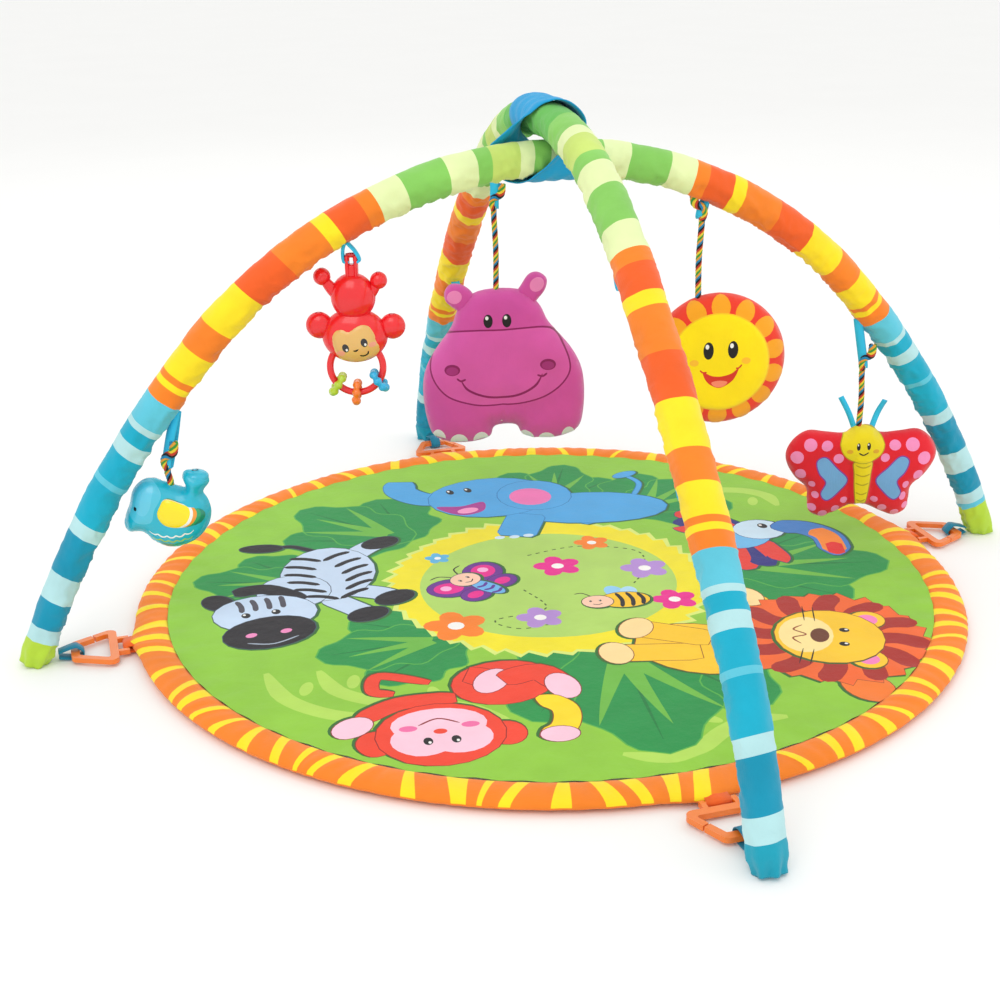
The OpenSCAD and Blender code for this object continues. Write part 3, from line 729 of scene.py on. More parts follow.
def stuffed(outline, base, art, thick, width, spacing, seed, back=None, relief=None):
    """Two panels sewn at the outline: printed front, plain back, with small puckers along the seam."""
    flat, faces, colours = flat_print(outline, base, art, spacing)
    gap = edge_distance(flat, outline)
    rise = thick / 2 * crown(gap, width)
    pucker = np.array([wobble(x / 7 + seed, y / 7) for x, y in flat]) * np.exp(-gap / 7) * np.minimum(gap / 2,
                                                                                                      1)
    swell = np.array([wobble(x / 38, y / 38 + seed) for x, y in flat]) * np.minimum(gap / width, 1)
    rise = rise + 1.6 * pucker + 1.8 * swell
    if relief is not None:
        rise = rise + np.array([relief(x, y) for x, y in flat]) * np.minimum(gap / 6, 1)
    seam = gap < 0.02
    front = np.column_stack([flat, np.where(seam, 0, np.maximum(rise, 0.4))])
    index = np.zeros(len(flat), int)
    index[seam] = np.nonzero(seam)[0]
    index[~seam] = len(flat) + np.arange(np.sum(~seam))
    rear = np.column_stack([flat[~seam], -np.maximum(rise[~seam], 0.4)])
    shape = Shape().add(front, faces, colours)
    shape.points.extend(tuple(p) for p in rear)
    for f in faces:
        shape.faces.append(tuple(int(index[i]) for i in reversed(f)))
        shape.colours.append(back or base)
    return shape


def wadding(name, outline, thick, place, body, cad):
    """The filling, a little smaller than its cover."""
    small = np.asarray(outline, float) * 0.93
    shape = stuffed(small, WHITE, [], thick - 5, 18, 9, 5.0)
    piece(name, moved(shape, place), WADDING, body, cad)


# ---------- hippo ----------

HIPPO_PINK = rgb("D351A4")
HIPPO_LINE = rgb("8C1B5C")
EAR_PINK = rgb("F08BC4")
TOE = rgb("E6E2EA")
HIPPO_OUTLINE = curve_through(both_sides([
    (21, 88), (43, 72), (55, 50), (76.5, 22), (87.5, 0), (91, -23), (89.5, -52), (83, -73), (64, -83),
    (40, -85), (20.5, -81), (11, -69.5)]), 5, closed=True)


def glossy_eye(x, y, rx, ry, turn=0.0):
    """Dark oval eye with a white glint."""
    return [(oval(x, y, rx, ry, turn), BLACK),
            (oval(x - 0.25 * rx, y + 0.45 * ry, 0.36 * rx, 0.28 * ry), WHITE)]


def toe(x, y, width, height):
    a = np.linspace(0, math.pi, 10)
    return np.column_stack([x + width / 2 * np.cos(a), y + height * np.sin(a)])


def hippo():
    muzzle = blob([(-60, 43), (-80, 8), (-66, -22), (-35, -35), (0, -37), (46, -27), (74, -2), (69, 27),
                   (50, 49),
                   (0, 48)], 8)
    face = [(grown(muzzle, 0.9), HIPPO_LINE), (grown(muzzle, -0.9), rgb("DB5AAC"))]
    face += glossy_eye(-14.6, 57.5, 5, 7.4) + glossy_eye(5.5, 58, 5, 7.4)
    for x, y in ((-55, 4.5), (50, 9.7)):
        face.append((oval(x, y, 9, 6.4), HIPPO_LINE))
        face.append((oval(x, y - 1, 7, 4.6), rgb("A92F7C")))
    face.append((stroke([(-45.5, -7), (-38, -18), (-20, -26), (-4, -28), (18, -24), (36, -14), (43.7, -1)],
                        2.6),
                 HIPPO_LINE))
    face.append((stroke([(-50, -5), (-45.5, -8), (-40, -6)], 2.2), HIPPO_LINE))
    face.append((stroke([(38, -2), (44, -3.5), (49, 0)], 2.2), HIPPO_LINE))
    for x, y, w in ((-74, -77, 15), (-52, -83, 20), (-27, -82.5, 18), (28, -82.5, 18), (51, -83.5, 20),
                    (75, -76, 15)):
        face.append((toe(x, y, w, 12), TOE))

    def relief(x, y):
        """The muzzle stands out, and folds run up from between the legs."""
        snout = 4 * math.exp(-((x / 62) ** 4 + ((y - 6) / 38) ** 4))
        fold = math.exp(-((y + 62) / 14) ** 2) * math.exp(-(x / 26) ** 2)
        return snout - 2.2 * fold * (0.6 + 0.4 * math.cos(x / 2.2))

    lean = math.radians(2.6)
    turn = np.array([[math.cos(lean), math.sin(lean)], [-math.sin(lean), math.cos(lean)]])
    outline = np.asarray(HIPPO_OUTLINE) @ turn
    shape = stuffed(outline, HIPPO_PINK, face, 36, 26, 4.0, 1.7, relief=relief)
    toy = piece("hippo_cover", moved(shape, HIPPO), PLUSH_FABRIC, "hippo",
                ["hippo_front", "hippo_back"])
    inflate(toy, 4.0, 3.0)
    wadding("hippo_wadding", outline, 36, HIPPO, "hippo", ["hippo_filling"])
    left = blob([(-28, 68), (-31, 84), (-42, 93), (-54, 94), (-61, 86), (-60, 75), (-50, 66), (-40, 60)])
    right = blob([(16, 80), (22, 93), (30, 104), (40, 106), (49, 99), (48, 88), (41, 78), (30, 68)])
    ears = join(
        stuffed(left, HIPPO_PINK, [(oval(-50.5, 81, 8.2, 7.4, 20), EAR_PINK)], 13, 7, 3.0, 4.1),
        stuffed(right, HIPPO_PINK, [(oval(38.5, 93.5, 7.2, 8.6, -40), EAR_PINK)], 13, 7, 3.0, 6.3))
    piece("hippo_soft_ears", moved(ears, HIPPO), PLUSH_FABRIC, "hippo", ["hippo_ears"])


# ---------- sun ----------

SUN_YELLOW = rgb("FFE100")
SUN_RED = rgb("EE3A24")
SUN_RAY = rgb("F9A51A")
SUN_LINE = rgb("D8341F")
SUN_R = 68
SUN_FACE_R = 50


def sun():
    outline = oval(0, 0, SUN_R, SUN_R, count=84)
    face = []
    rays = 14
    for n in range(rays):
        a = 2 * math.pi * (n + 0.5) / rays
        face.append((oval(56 * math.cos(a), 56 * math.sin(a), 11.5, 9.6, math.degrees(a), 16), SUN_RAY))
    face.append((oval(0, 0, 50.5, 50.5, count=48), rgb("F7C81A")))
    face.append((oval(0, 0.4, 49, 49, count=48), SUN_YELLOW))
    face += glossy_eye(-12, 13, 5.2, 9) + glossy_eye(12.5, 14, 5.2, 9)
    for side, y in ((-1, 0.5), (1, 2.5)):
        face.append((oval(side * 26, y, 4.6, 3.4), rgb("FDBE2D")))
    mouth = blob([(-17, -9), (-8, -13), (2, -13.5), (12, -10.5), (19, -5), (14, -17), (4, -24.5), (-4, -25),
                  (-13, -19)])
    face.append((mouth, SUN_LINE))
    face.append((blob([(-8, -20), (0, -18), (8, -19.5), (4, -24), (-4, -24.5)]), rgb("F58B6A")))
    face.append((stroke([(-20, -7), (-17, -9.5), (-13, -9)], 1.6), SUN_LINE))
    face.append((stroke([(16, -5), (19, -5), (22, -1.5)], 1.6), SUN_LINE))

    def relief(x, y):
        """The face stands out of the ring of rays."""
        r = math.hypot(x, y)
        return 3 / (1 + math.exp((r - SUN_FACE_R) / 1.6)) - 1.2 * math.exp(-((r - SUN_FACE_R - 1) / 2.4) ** 2)

    shape = stuffed(outline, SUN_RED, face, 28, 20, 4.0, 2.9, back=SUN_RAY, relief=relief)
    toy = piece("sun_cover", moved(shape, SUN), PLUSH_FABRIC, "sun", ["sun_front", "sun_back"])
    inflate(toy, 4.0, 2.6)
    wadding("sun_wadding", outline, 28, SUN, "sun", ["sun_filling"])


# ---------- butterfly ----------

WING_RED = rgb("E2182A")
DOT_PINK = rgb("F490C2")
HEART_BLUE = rgb("73A9DC")
BODY_YELLOW = rgb("EBD512")
BUTTERFLY_OUTLINE = curve_through(both_sides([
    (9, 52.5), (20, 45), (41, 46), (60, 47), (74, 38), (82, 24), (81, 10), (72, -6.5), (59, -20), (57, -34),
    (53.5, -48), (41, -54), (27, -50), (8, -42)]), 5, closed=True)
WING_DOTS = [
    (-58, 33, 7.1), (-40, 32, 6.2), (-71.5, 19, 7), (-26.6, 17.5, 5.5), (-67, 0, 5.9), (-54.5, -12, 4),
    (-50, -25, 4.2), (-52, -41, 4.5), (-18, -31, 4), (-26.6, -42, 4.7), (-40, -48, 5),
    (34, 32, 6.3), (53, 32, 7.7), (23.4, 18, 5), (66.5, 16.6, 7.4), (62, -3, 6), (49, -14, 4.2),
    (47, -27.5, 4.8), (15.5, -31, 4), (25.6, -42, 4.8), (40, -48, 4.6), (51, -40, 4.2)]


def butterfly():
    art = [(oval(x, y, r, r, count=16), DOT_PINK) for x, y, r in WING_DOTS]
    for side in (-1, 1):
        heart = blob([(side * x, y) for x,
                      y in ((16, -7), (28, 6), (40, 18), (49, 14), (46, 1), (38, -10), (43, -23),
                                                 (36, -30), (24, -20))])
        art.append((grown(heart, 1.4), rgb("7D3FA0")))
        art.append((heart, HEART_BLUE))
    body = blob([(-8.6, 14), (-8.4, 0), (-7, -18), (-4.2, -38), (0, -42.5), (4.2, -38), (7, -18), (8.4, 0),
                 (8.6, 14)])
    art.append((grown(body, 1.0), rgb("A88A14")))
    art.append((body, BODY_YELLOW))
    for y, half in ((8.8, 8), (-1, 7.8), (-11.5, 7), (-22.6, 6), (-31, 4.8)):
        art.append((stroke([(-half, y + 1.4), (0, y - 1), (half, y + 1.4)], 1.5), rgb("B9A412")))
    head = oval(-1.5, 33.5, 23.5, 20, count=40)
    art.append((grown(head, 1.0), rgb("B5A514")))
    art.append((head, rgb("EDD815")))
    art += glossy_eye(-6.8, 31.5, 2.0, 4.2) + glossy_eye(4.2, 32, 2.0, 4.2)
    art.append((stroke([(-6, 24.5), (-1, 22), (4.5, 25)], 1.5), BLACK))
    for x in (-15.5, 12.5):
        art.append((oval(x, 26, 3.4, 2.4), rgb("E0A92A")))

    def relief(x, y):
        """Head and body are fuller than the wings."""
        belly = 3.5 * math.exp(-(x / 9) ** 4) * (1 if y < 18 else 0)
        skull = 4.5 * math.exp(-(((x + 1.5) / 21) ** 4 + ((y - 33.5) / 18) ** 4))
        crease = -1.6 * math.exp(-((abs(x) - 12) / 2.6) ** 2) * (1 if y < 14 else 0)
        return belly + skull + crease

    shape = stuffed(BUTTERFLY_OUTLINE, WING_RED, art, 20, 16, 3.6, 5.3, relief=relief)
    toy = piece("butterfly_cover", moved(shape, BUTTERFLY), PLUSH_FABRIC, "butterfly",
                ["butterfly_front", "butterfly_back"])
    inflate(toy, 4.0, 2.2)
    wadding("butterfly_wadding", BUTTERFLY_OUTLINE, 20, BUTTERFLY, "butterfly", ["butterfly_filling"])
    feelers = []
    for foot, knee, tip in (((-9, 47, 0), (-17, 66, 3), (-26, 83, 1)),
                            ((9, 47, 0), (15, 64, -2), (21, 79, 2))):
        path = curve_through([foot, knee, tip], 8)
        strip = ribbon(path, unit((1, 0.45, 0.15)), 6.0, 1.0, BLUE_RIBBON)
        feelers.append(moved(strip, BUTTERFLY))
    piece("butterfly_ribbon_antennae", join(*feelers), RIBBON_FABRIC, "butterfly",
          ["butterfly_antennae"])


# ---------- moulded rattles ----------

def moulded(outline, base, art, thick, width, spacing, power=0.5, back_art=True):
    """A hollow moulding with domed faces; its parting line runs round the outline."""
    flat, faces, colours = flat_print(outline, base, art, spacing)
    gap = edge_distance(flat, outline)
    t = np.clip(gap / width, 0, 1)
    rise = thick / 2 * np.maximum(1 - (1 - t) ** 2, 0) ** power
    seam = gap < 0.02
    rear = [c if back_art else base for c in colours]
    shape = Shape().add(np.column_stack([flat, np.where(seam, 0, rise)]), faces, colours)
    shape.add(np.column_stack([flat, np.where(seam, 0, -rise)]), [tuple(reversed(f)) for f in faces], rear)
    return shape


def ball(x, y, z, rx, ry, rz, colour, count=24):
    """An ellipsoid."""
    rows = count // 2
    rings = []
    for r in range(1, rows):
        a = math.pi * r / rows
        for c in range(count):
            b = 2 * math.pi * c / count
            rings.append((x + rx * math.sin(a) * math.cos(b), y + ry * math.cos(a),
                          z + rz * math.sin(a) * math.sin(b)))
    shape = Shape().add(rings, [f[::-1] for f in grid_faces(rows - 1, count)], colour)
    shape.points.extend([(x, y + ry, z), (x, y - ry, z)])
    top = len(shape.points) - 2
    for c in range(count):
        d = (c + 1) % count
        shape.faces.append((top, c, d)[::-1])
        shape.faces.append((top + 1, top - count + d, top - count + c)[::-1])
        shape.colours.extend([colour, colour])
    return shape


BIRD_BLUE = rgb("12B5CF")
BIRD_PALE = rgb("62CBE6")
BIRD_OUTLINE = curve_through([
    (-11, 38), (-22, 36), (-31, 27), (-35.5, 13), (-40.5, 1), (-41, -8), (-37.5, -14.5), (-25, -15),
    (-17, -23),
    (-7, -29), (3.5, -31), (15, -29), (27, -22.5), (37, -10), (41, 4), (39, 16), (35, 24.5), (41.5, 34),
    (38, 42), (22, 46), (16.5, 40), (18.5, 29), (6, 32)], 4, closed=True)


def scallops(y, left, right, dips, depth, width):
    """A printed wavy line that sags in the middle."""
    points = []
    for n in range(4 * dips + 1):
        t = n / (4 * dips)
        sag = -depth * math.sin(math.pi * t)
        wave = -1.8 * abs(math.sin(math.pi * dips * t))
        points.append((left + (right - left) * t, y + sag + wave))
    return stroke(points, width, 2)


def bird():
    head = blob([(-11, 37.5), (-22, 35.5), (-30.5, 27), (-34, 13), (-33, 4), (-24, -2), (-13, 0), (-9, 12),
                 (-2, 26)])
    art = [(head, rgb("4FC4DE"))]
    art.append((blob([(-10, 34), (-20, 31), (-26, 22), (-27, 10), (-20, 6), (-14, 12), (-11, 22)]),
                BIRD_PALE))
    art.append((scallops(-9.5, -16.4, 25.6, 5, 5, 1.4), WHITE))
    art.append((scallops(-16.3, -14, 24, 5, 3.4, 1.3), rgb("A6CE45")))
    art.append((blob([(-8, -22), (4, -24), (18, -21.5), (8, -26), (-2, -26)]), rgb("0E9C8A")))
    art += [(oval(-27.7, 12.3, 1.6, 2.0), BLACK)]
    shell = moulded(BIRD_OUTLINE, BIRD_BLUE, art, 34, 21, 2.6)
    beak = ball(-35.5, -6, 0, 6.6, 9.4, 8.5, rgb("2FBAD6"))
    tail = ball(29, 39, 0, 12.5, 6.8, 11, rgb("2CB9D6"))
    piece("bird_body", moved(join(shell, beak, tail), BIRD), MOULDED, "bird",
          ["bird_left_shell", "bird_right_shell"])
    wing_outline = blob([(-8.3, 6.4), (-4.4, 17.4), (3.3, 22.9), (17, 17.9), (28, 14), (37, 8), (35, 0),
                         (26, -6),
                         (10, -7.5), (-1.9, -4)], 6)
    crescents = [
        (blob([(-8.3, 6.4), (-4.4, 17.4), (3.3, 22.9), (17, 17.9), (28, 14.5), (34, 8), (30, 0), (22, -5),
               (10, -7),
               (-1.9, -3.6)]), rgb("1FA36B")),
        (blob([(-8, 6.4), (-4.4, 17.2), (3.3, 22.6), (17, 17.7), (26.5, 14.5), (30.5, 8), (27, 0), (20, -5),
               (10, -6.8),
               (-1.9, -3.3)]), rgb("F39A2D")),
        (blob([(-7.9, 6.4), (-4.2, 17), (3.3, 22.4), (17, 17.5), (25, 14.2), (27, 8), (24, 0), (18, -4.8),
               (9, -6.6),
               (-1.8, -3)]), WHITE),
        (blob([(-7.7, 6.4), (-4, 16.8), (3.3, 22.2), (16, 17.6), (23, 14), (24.2, 8), (21, 0.5), (16, -3.6),
               (9, -5.8), (-1.5, -2.8)]), rgb("FFE500"))]
    flat, faces, colours = flat_print(wing_outline, rgb("0C8A6E"), crescents, 2.4)
    gap = edge_distance(flat, wing_outline)
    dome = 17.5 * np.sqrt(np.maximum(1 - (np.hypot(flat[:, 0] - 3, flat[:, 1] - 4) / 62) ** 2, 0))
    high = dome - 2.5 + 4.4 * crown(gap, 9)
    wings = Shape().add(np.column_stack([flat, high]), faces, colours)
    wings.add(np.column_stack([flat, -high]), [tuple(reversed(f)) for f in faces], colours)
    piece("bird_wing_panels", moved(wings, BIRD), MOULDED, "bird", ["bird_wings"])


RATTLE_RED = rgb("EC1C24")
FACE_TAN = rgb("E3B566")
HANDLE_R = 25
HANDLE_Y = -24          # middle of the ring, below the middle of the head
BEAD_PATH_R = 8.8


def monkey():
    parts = [
        ball(0, 7, 0, 31, 26, 16, RATTLE_RED, 40),
        ball(0, 44, 0, 21, 22.5, 15.5, RATTLE_RED, 36),
        ball(-33, 17, -1, 12.7, 12.7, 9, RATTLE_RED, 28),
        ball(35.5, 15, -1, 12.2, 12.2, 9, RATTLE_RED, 28),
        ball(-28, 63.5, 0, 8.2, 8.2, 8.2, RATTLE_RED),
        ball(24.4, 59, 0, 8.1, 8.1, 8.1, RATTLE_RED),
    ]
    for x0, y0, x1, y1 in ((-13, 46, -27, 62), (12, 44, 24, 58)):
        path = curve_through([(x0, y0, 0), ((x0 + x1) / 2, (y0 + y1) / 2 - 1.5, 0), (x1, y1, 0)], 8)
        parts.append(sweep(path, np.linspace(7.5, 4.0, len(path)), 20, colour=RATTLE_RED))
    pivot_height = 78.5
    for side in (-1, 1):
        post = curve_through([(side * 3.6, 58, 0), (side * 3.9, 70, 0), (side * 3.9, pivot_height + 4.5, 0)],
                             6)
        parts.append(sweep(post, 2.4, 16, flat=2.6, colour=RATTLE_RED, frames=straight_frames(len(post))))
    bar = curve_through([(-4.5, pivot_height + 4, 0), (0, pivot_height + 4.6, 0), (4.5, pivot_height + 4, 0)],
                        4)
    parts.append(sweep(bar, 2.4, 14, colour=RATTLE_RED))
    neck = curve_through([(0, 58, 0), (0, 66, 0), (0, pivot_height - 4.2, 0)], 5)
    parts.append(sweep(neck, np.linspace(6.4, 5.2, len(neck)), 24, colour=RATTLE_RED))
    piece("monkey_body", moved(join(*parts), MONKEY), MOULDED, "monkey",
          ["monkey_front_shell", "monkey_back_shell"])
    face_outline = blob([(-11, 16.6), (-4.6, 14.6), (2, 18.5), (8.2, 20.8), (15, 18.5), (19.4, 12), (21, 4),
                         (23.7, -2.2),
                         (22.5, -8.5), (17.5, -14), (4, -18.3), (-13, -15.5), (-19, -6), (-21, 6.6),
                         (-18, 14)])
    art = [(oval(-13, -7, 4.4, 2.8, 10), rgb("EE9F85")), (oval(17, 1.5, 3.6, 2.6, 20), rgb("EE9F85"))]
    for x, y in ((-8, -1.4), (9.6, 3.8)):
        art.append((oval(x, y, 3.2, 4.3, 12), BLACK))
        art.append((oval(x + 1, y - 1.8, 1.1, 1.3), WHITE))
    art.append((blob([(-1.2, -3.9), (1.2, -3.2), (4.2, -2.2), (2.6, -4.6), (0.4, -5)]), BLACK))
    art.append((stroke([(5, -9.4), (9, -9.6), (12.4, -7.6), (13, -4.6)], 1.5), BLACK))
    art.append((stroke([(5.2, -8.8), (8, -9.4), (10.4, -8.8)], 0.8), BLACK))
    flat, faces, colours = flat_print(face_outline, FACE_TAN, art, 2.2)
    gap = edge_distance(flat, face_outline)
    reach = np.clip(1 - (flat[:, 0] / 31) ** 2 - ((flat[:, 1] - 7) / 26) ** 2, 0.02, 1)
    high = 16 * np.sqrt(reach) - 0.6 + 1.9 * crown(gap, 4)
    plate = Shape().add(np.column_stack([flat, high]), faces, colours)
    piece("monkey_face_plate", moved(plate, MONKEY), MOULDED, "monkey", ["monkey_face"])


def straight_frames(count):
    """Frames for an upright path in toy coordinates: (up, right, front)."""
    return (np.tile([0.0, 1.0, 0.0], (count, 1)), np.tile([1.0, 0.0, 0.0], (count, 1)),
            np.tile([0.0, 0.0, 1.0], (count, 1)))


def on_handle(angle):
    """Point of the ring handle's centreline."""
    return HANDLE_R * math.cos(angle), HANDLE_Y + HANDLE_R * math.sin(angle), 0.0


def bead_rings():
    """Lobed rings threaded on the monkey's handle."""
    for name, angle, tilt, colour in (("green", 222, 14, rgb("B5D334")), ("orange", 268, -4, rgb("F47B20")),
                                      ("blue", 327, -20, rgb("1CAFE0"))):
        a = math.radians(angle)
        centre = np.array(on_handle(a))
        lean = a + math.radians(tilt)
        outward = np.array([math.cos(lean), math.sin(lean), 0.0])
        front = np.array([0.0, 0.0, 1.0])
        count = 60
        path = []
        for n in range(count):
            b = 2 * math.pi * n / count
            path.append(centre + (outward * math.cos(b) + front * math.sin(b)) * BEAD_PATH_R)
        lobes = 3.5 + 0.85 * np.cos(7 * np.linspace(0, 2 * math.pi, count, endpoint=False))
        shape = sweep(path, lobes, 18, colour=colour, closed=True)
        piece(f"bead_ring_{name}_lobed", moved(shape, MONKEY), MOULDED, f"bead_{name}",
              [f"bead_ring_{name}"])


def handle():
    """The ring under the monkey."""
    path = [on_handle(a) for a in np.linspace(0, 2 * math.pi, 96, endpoint=False)]
    shape = sweep(path, 3.3, 20, colour=RATTLE_RED, closed=True)
    piece("monkey_ring_handle", moved(shape, MONKEY), MOULDED, "monkey", ["monkey_handle"])


hippo()
sun()
butterfly()
bird()
monkey()
handle()
bead_rings()


# ---------- cords, slings and loops ----------

CORD_COLOURS = [rgb("3E9B3F"), rgb("F0D23C"), rgb("C8402A"), rgb("1D1D1F"), rgb("1C86B8"), rgb("E9A43A")]


def twisted_cord(path, thick, pitch=17.0, start=0.0):
    """Strands laid round a path; their colours run round the cord."""
    path = np.asarray(path, float)
    _, normals, binormals = path_frames(path)
    run = run_along(path)
    thick = np.broadcast_to(np.asarray(thick, float), (len(path),))
    shape = Shape()
    strands = len(CORD_COLOURS)
    for k, colour in enumerate(CORD_COLOURS):
        turn = 2 * math.pi * (k / strands + run / pitch) + start
        reach = 0.3 * thick[:, None]
        line = path + (normals * np.cos(turn)[:, None] + binormals * np.sin(turn)[:, None]) * reach
        strand = sweep(line, 0.2 * thick, 8, colour=colour)
        shape.add(strand.points, strand.faces, strand.colours)
    return shape


def hanging_cord(name, joint, end_drop, fold, body):
    """A cord whose knotted end lies over the sling and stands up; fold is its way out, right or left."""
    hang = loop_middle(joint)
    side = TOY_RIGHT * fold

    def at(x, y, front=0.0):
        return hang + side * x + UP * y + TOY_FRONT * front

    down = curve_through([at(0, -5.5, 1.5), at(-1.0, -14, 0.5), at(0.6, -0.5 * (end_drop + 14)),
                          at(0, -end_drop - 4)], 26)
    over = curve_through([at(-1, -10, 2), at(-3, -3, 4), at(-1, 3, 5), at(4, 5, 4), at(7, 8, 4),
                          at(8, 17, 3)], 12)
    thick = 6.4 + 2.4 * smoothstep(np.linspace(-0.4, 1.6, len(over)))
    thick[-2:] *= 0.93
    shape = join(twisted_cord(down, 6.4), twisted_cord(over, thick, 19.0, 1.3))
    piece(name + "_twisted", shape, CORD_YARN, body, [name])


SLING_WIDTH = 9.0
SEW_DEPTH = 1.5          # how far a sling's ends reach into the sleeve
SPARE_SEW_DEPTH = 2.0
LOOP_RIBBON = 1.2        # thickness of the ribbon


def under_sleeve(arch, slope, side, depth):
    """Where a ribbon is sewn under the sleeve, and the arch's point, outward and sideways there."""
    point, _, outward, sideways = arch.frame(arch.at_slope(slope, side))
    return point - outward * (SLEEVE_R - depth), point, outward, sideways


def sling(arch, slope, side, middle, drop, across, spread):
    """A ribbon folded under the cord, with both ends sewn under the sleeve."""
    root = under_sleeve(arch, slope, side, SEW_DEPTH)[0]
    across = unit(across)
    facing = unit(np.cross(UP, across))
    low = middle - UP * drop
    path = curve_through([
        root + facing * spread * 0.3,
        0.5 * (root + low) + facing * spread + UP * 2,
        low + facing * spread * 0.8 + UP * 3,
        low,
        low - facing * spread * 0.8 + UP * 3,
        0.5 * (root + low) - facing * spread + UP * 2,
        root - facing * spread * 0.3], 7)
    return ribbon(path, across, SLING_WIDTH, LOOP_RIBBON, SLING_BLUE)


def monkey_sling():
    """An inverted V down both sides of the monkey's stem, through its hole."""
    root = under_sleeve(ARCH_A, 27.4, -1, SEW_DEPTH)[0]
    pivot = PIVOT["monkey_swing"]
    strips = []
    for side in (-1, 1):
        foot = pivot + TOY_RIGHT * side * 7.4
        path = curve_through([root + TOY_RIGHT * side * 0.8,
                              0.5 * (root + foot) + TOY_RIGHT * side * 1.5 + UP * 1,
                              foot + UP * 1.5, foot - UP * 1.2 - TOY_RIGHT * side * 1.2,
                              pivot - UP * 1.2 + TOY_RIGHT * side * 2.0], 7)
        strips.append(ribbon(path, TOY_FRONT, 10.0, 3.0, SLING_BLUE))
    return join(*strips)


def spare_loop(arch, slope, side, drop):
    """A short empty loop of ribbon sewn under the sleeve."""
    root, point, outward, sideways = under_sleeve(arch, slope, side, SPARE_SEW_DEPTH)
    reach = SLEEVE_R + 0.2 + 7.7
    middle = point - outward * reach - UP * drop
    along = unit(np.cross(sideways, middle - root))
    path = curve_through([root + along * 2.5, middle + UP * 2 + along * 6.5, middle + along * 7.0 - UP * 2,
                          middle - UP * 7.2 + along * 2.5, middle - UP * 7.2 - along * 2.5,
                          middle - along * 7.0 - UP * 2, middle + UP * 2 - along * 6.5, root - along * 2.5],
                          6)
    return ribbon(path, sideways, 10.0, LOOP_RIBBON, BLUE_RIBBON)


hanging_cord("bird_cord", "bird_swing", 31, 1, "bird_cord")
hanging_cord("sun_cord", "sun_swing", 84, -1, "sun_cord")
hanging_cord("butterfly_cord", "butterfly_swing", 70, 1, "butterfly_cord")
hanging_cord("hippo_cord", "hippo_swing", 95, 1, "hippo_cord")
slings_a = join(
    sling(ARCH_A, 51.5, -1, loop_middle("bird_swing"), 8, (0.85, -0.5, -0.1), 4.2),
    sling(ARCH_A, 23, 1, loop_middle("sun_swing"), 8.5, (0.8, -0.6, 0.1), 5.0),
    sling(ARCH_A, 49.5, 1, loop_middle("butterfly_swing"), 8, (0.85, -0.5, 0.1), 4.2),
    monkey_sling())
piece("arch_a_ribbon_slings", slings_a, RIBBON_FABRIC, "arch_a", ["arch_a_toy_loops"])
slings_b = join(
    sling(ARCH_B, 33.5, 1, loop_middle("hippo_swing"), 8.5, (0.95, -0.3, 0.0), 4.6),
    spare_loop(ARCH_B, 37.5, -1, 4),
    spare_loop(ARCH_B, 48.6, -1, 4),
    spare_loop(ARCH_B, 48.6, 1, 4))
piece("arch_b_ribbon_slings", slings_b, RIBBON_FABRIC, "arch_b", ["arch_b_toy_loops"])


# ---------- mat print ----------

MAT_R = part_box("mat_binding")[1].x / MM
QUILT_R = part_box("mat_top_cover")[1].x / MM
MAT_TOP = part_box("mat_top_cover")[1].z / MM
RIM_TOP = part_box("mat_binding")[1].z / MM
CLEARING_R = 0.42 * QUILT_R

GRASS = rgb("8FC83C")
GRASS_PALE = rgb("B2DA5A")
LEAF = rgb("1E9146")
LEAF_EDGE = rgb("55B047")
BLADE = rgb("6DB843")
SHADOW = rgb("2F6B2B")
INK = rgb("1D1A20")
MAGENTA = rgb("E6218F")
PURPLE = rgb("B28CD2")
PEACH = rgb("F8CBB0")


def placed(art, x, y, turn=0.0):
    """A drawing, made round its own middle, set down on the mat."""
    c, s = math.cos(math.radians(turn)), math.sin(math.radians(turn))
    spin = np.array([[c, s], [-s, c]])
    return [(np.asarray(points, float) @ spin + (x, y), colour) for points, colour in art]


def outlined(parts, line):
    """Parts of one figure over a soft shadow, each with a thin line round it."""
    art = [(grown(points, 2.2) + (1.2, -1.4), SHADOW) for points, _ in parts]
    for points, colour in parts:
        art.append((grown(points, 0.9), line))
        art.append((points, colour))
    return art


def disc_fringe(r, teeth, depth):
    """A disc with leaning teeth."""
    a = np.linspace(0, 2 * math.pi, 2 * teeth, endpoint=False)
    reach = r * (1 + depth * (np.arange(2 * teeth) % 2) * (0.75 + 0.25 * np.sin(5 * a)))
    lean = 0.5 * math.pi / teeth * (np.arange(2 * teeth) % 2)
    return np.column_stack([reach * np.cos(a + lean), reach * np.sin(a + lean)])


def leaf(length, width, lobes):
    """A lobed leaf that points along +X, with a darker rib."""
    t = np.linspace(0, 1, 8 * lobes)
    half = width / 2 * np.sin(math.pi * t) ** 0.55 * (0.88 + 0.12 * np.cos(2 * math.pi * lobes * t))
    outline = np.concatenate([np.column_stack([length * t, half]),
                              np.column_stack([length * t, -half])[::-1][1:-1]])
    rib = stroke([(0.05 * length, 0), (0.9 * length, 0)], 3.0, 3, 0.2)
    return [(grown(outline, 1.6), LEAF_EDGE), (outline, LEAF), (rib, rgb("157A3C"))]


def blade(length, width):
    """A pointed pale blade that points along +X."""
    t = np.linspace(0, 1, 9)
    half = width / 2 * (1 - t) ** 0.8
    upper = np.column_stack([length * t, half + 0.05 * length * t * t])
    lower = np.column_stack([length * t, -half + 0.05 * length * t * t])
    return [(np.concatenate([upper, lower[::-1][1:]]), BLADE)]


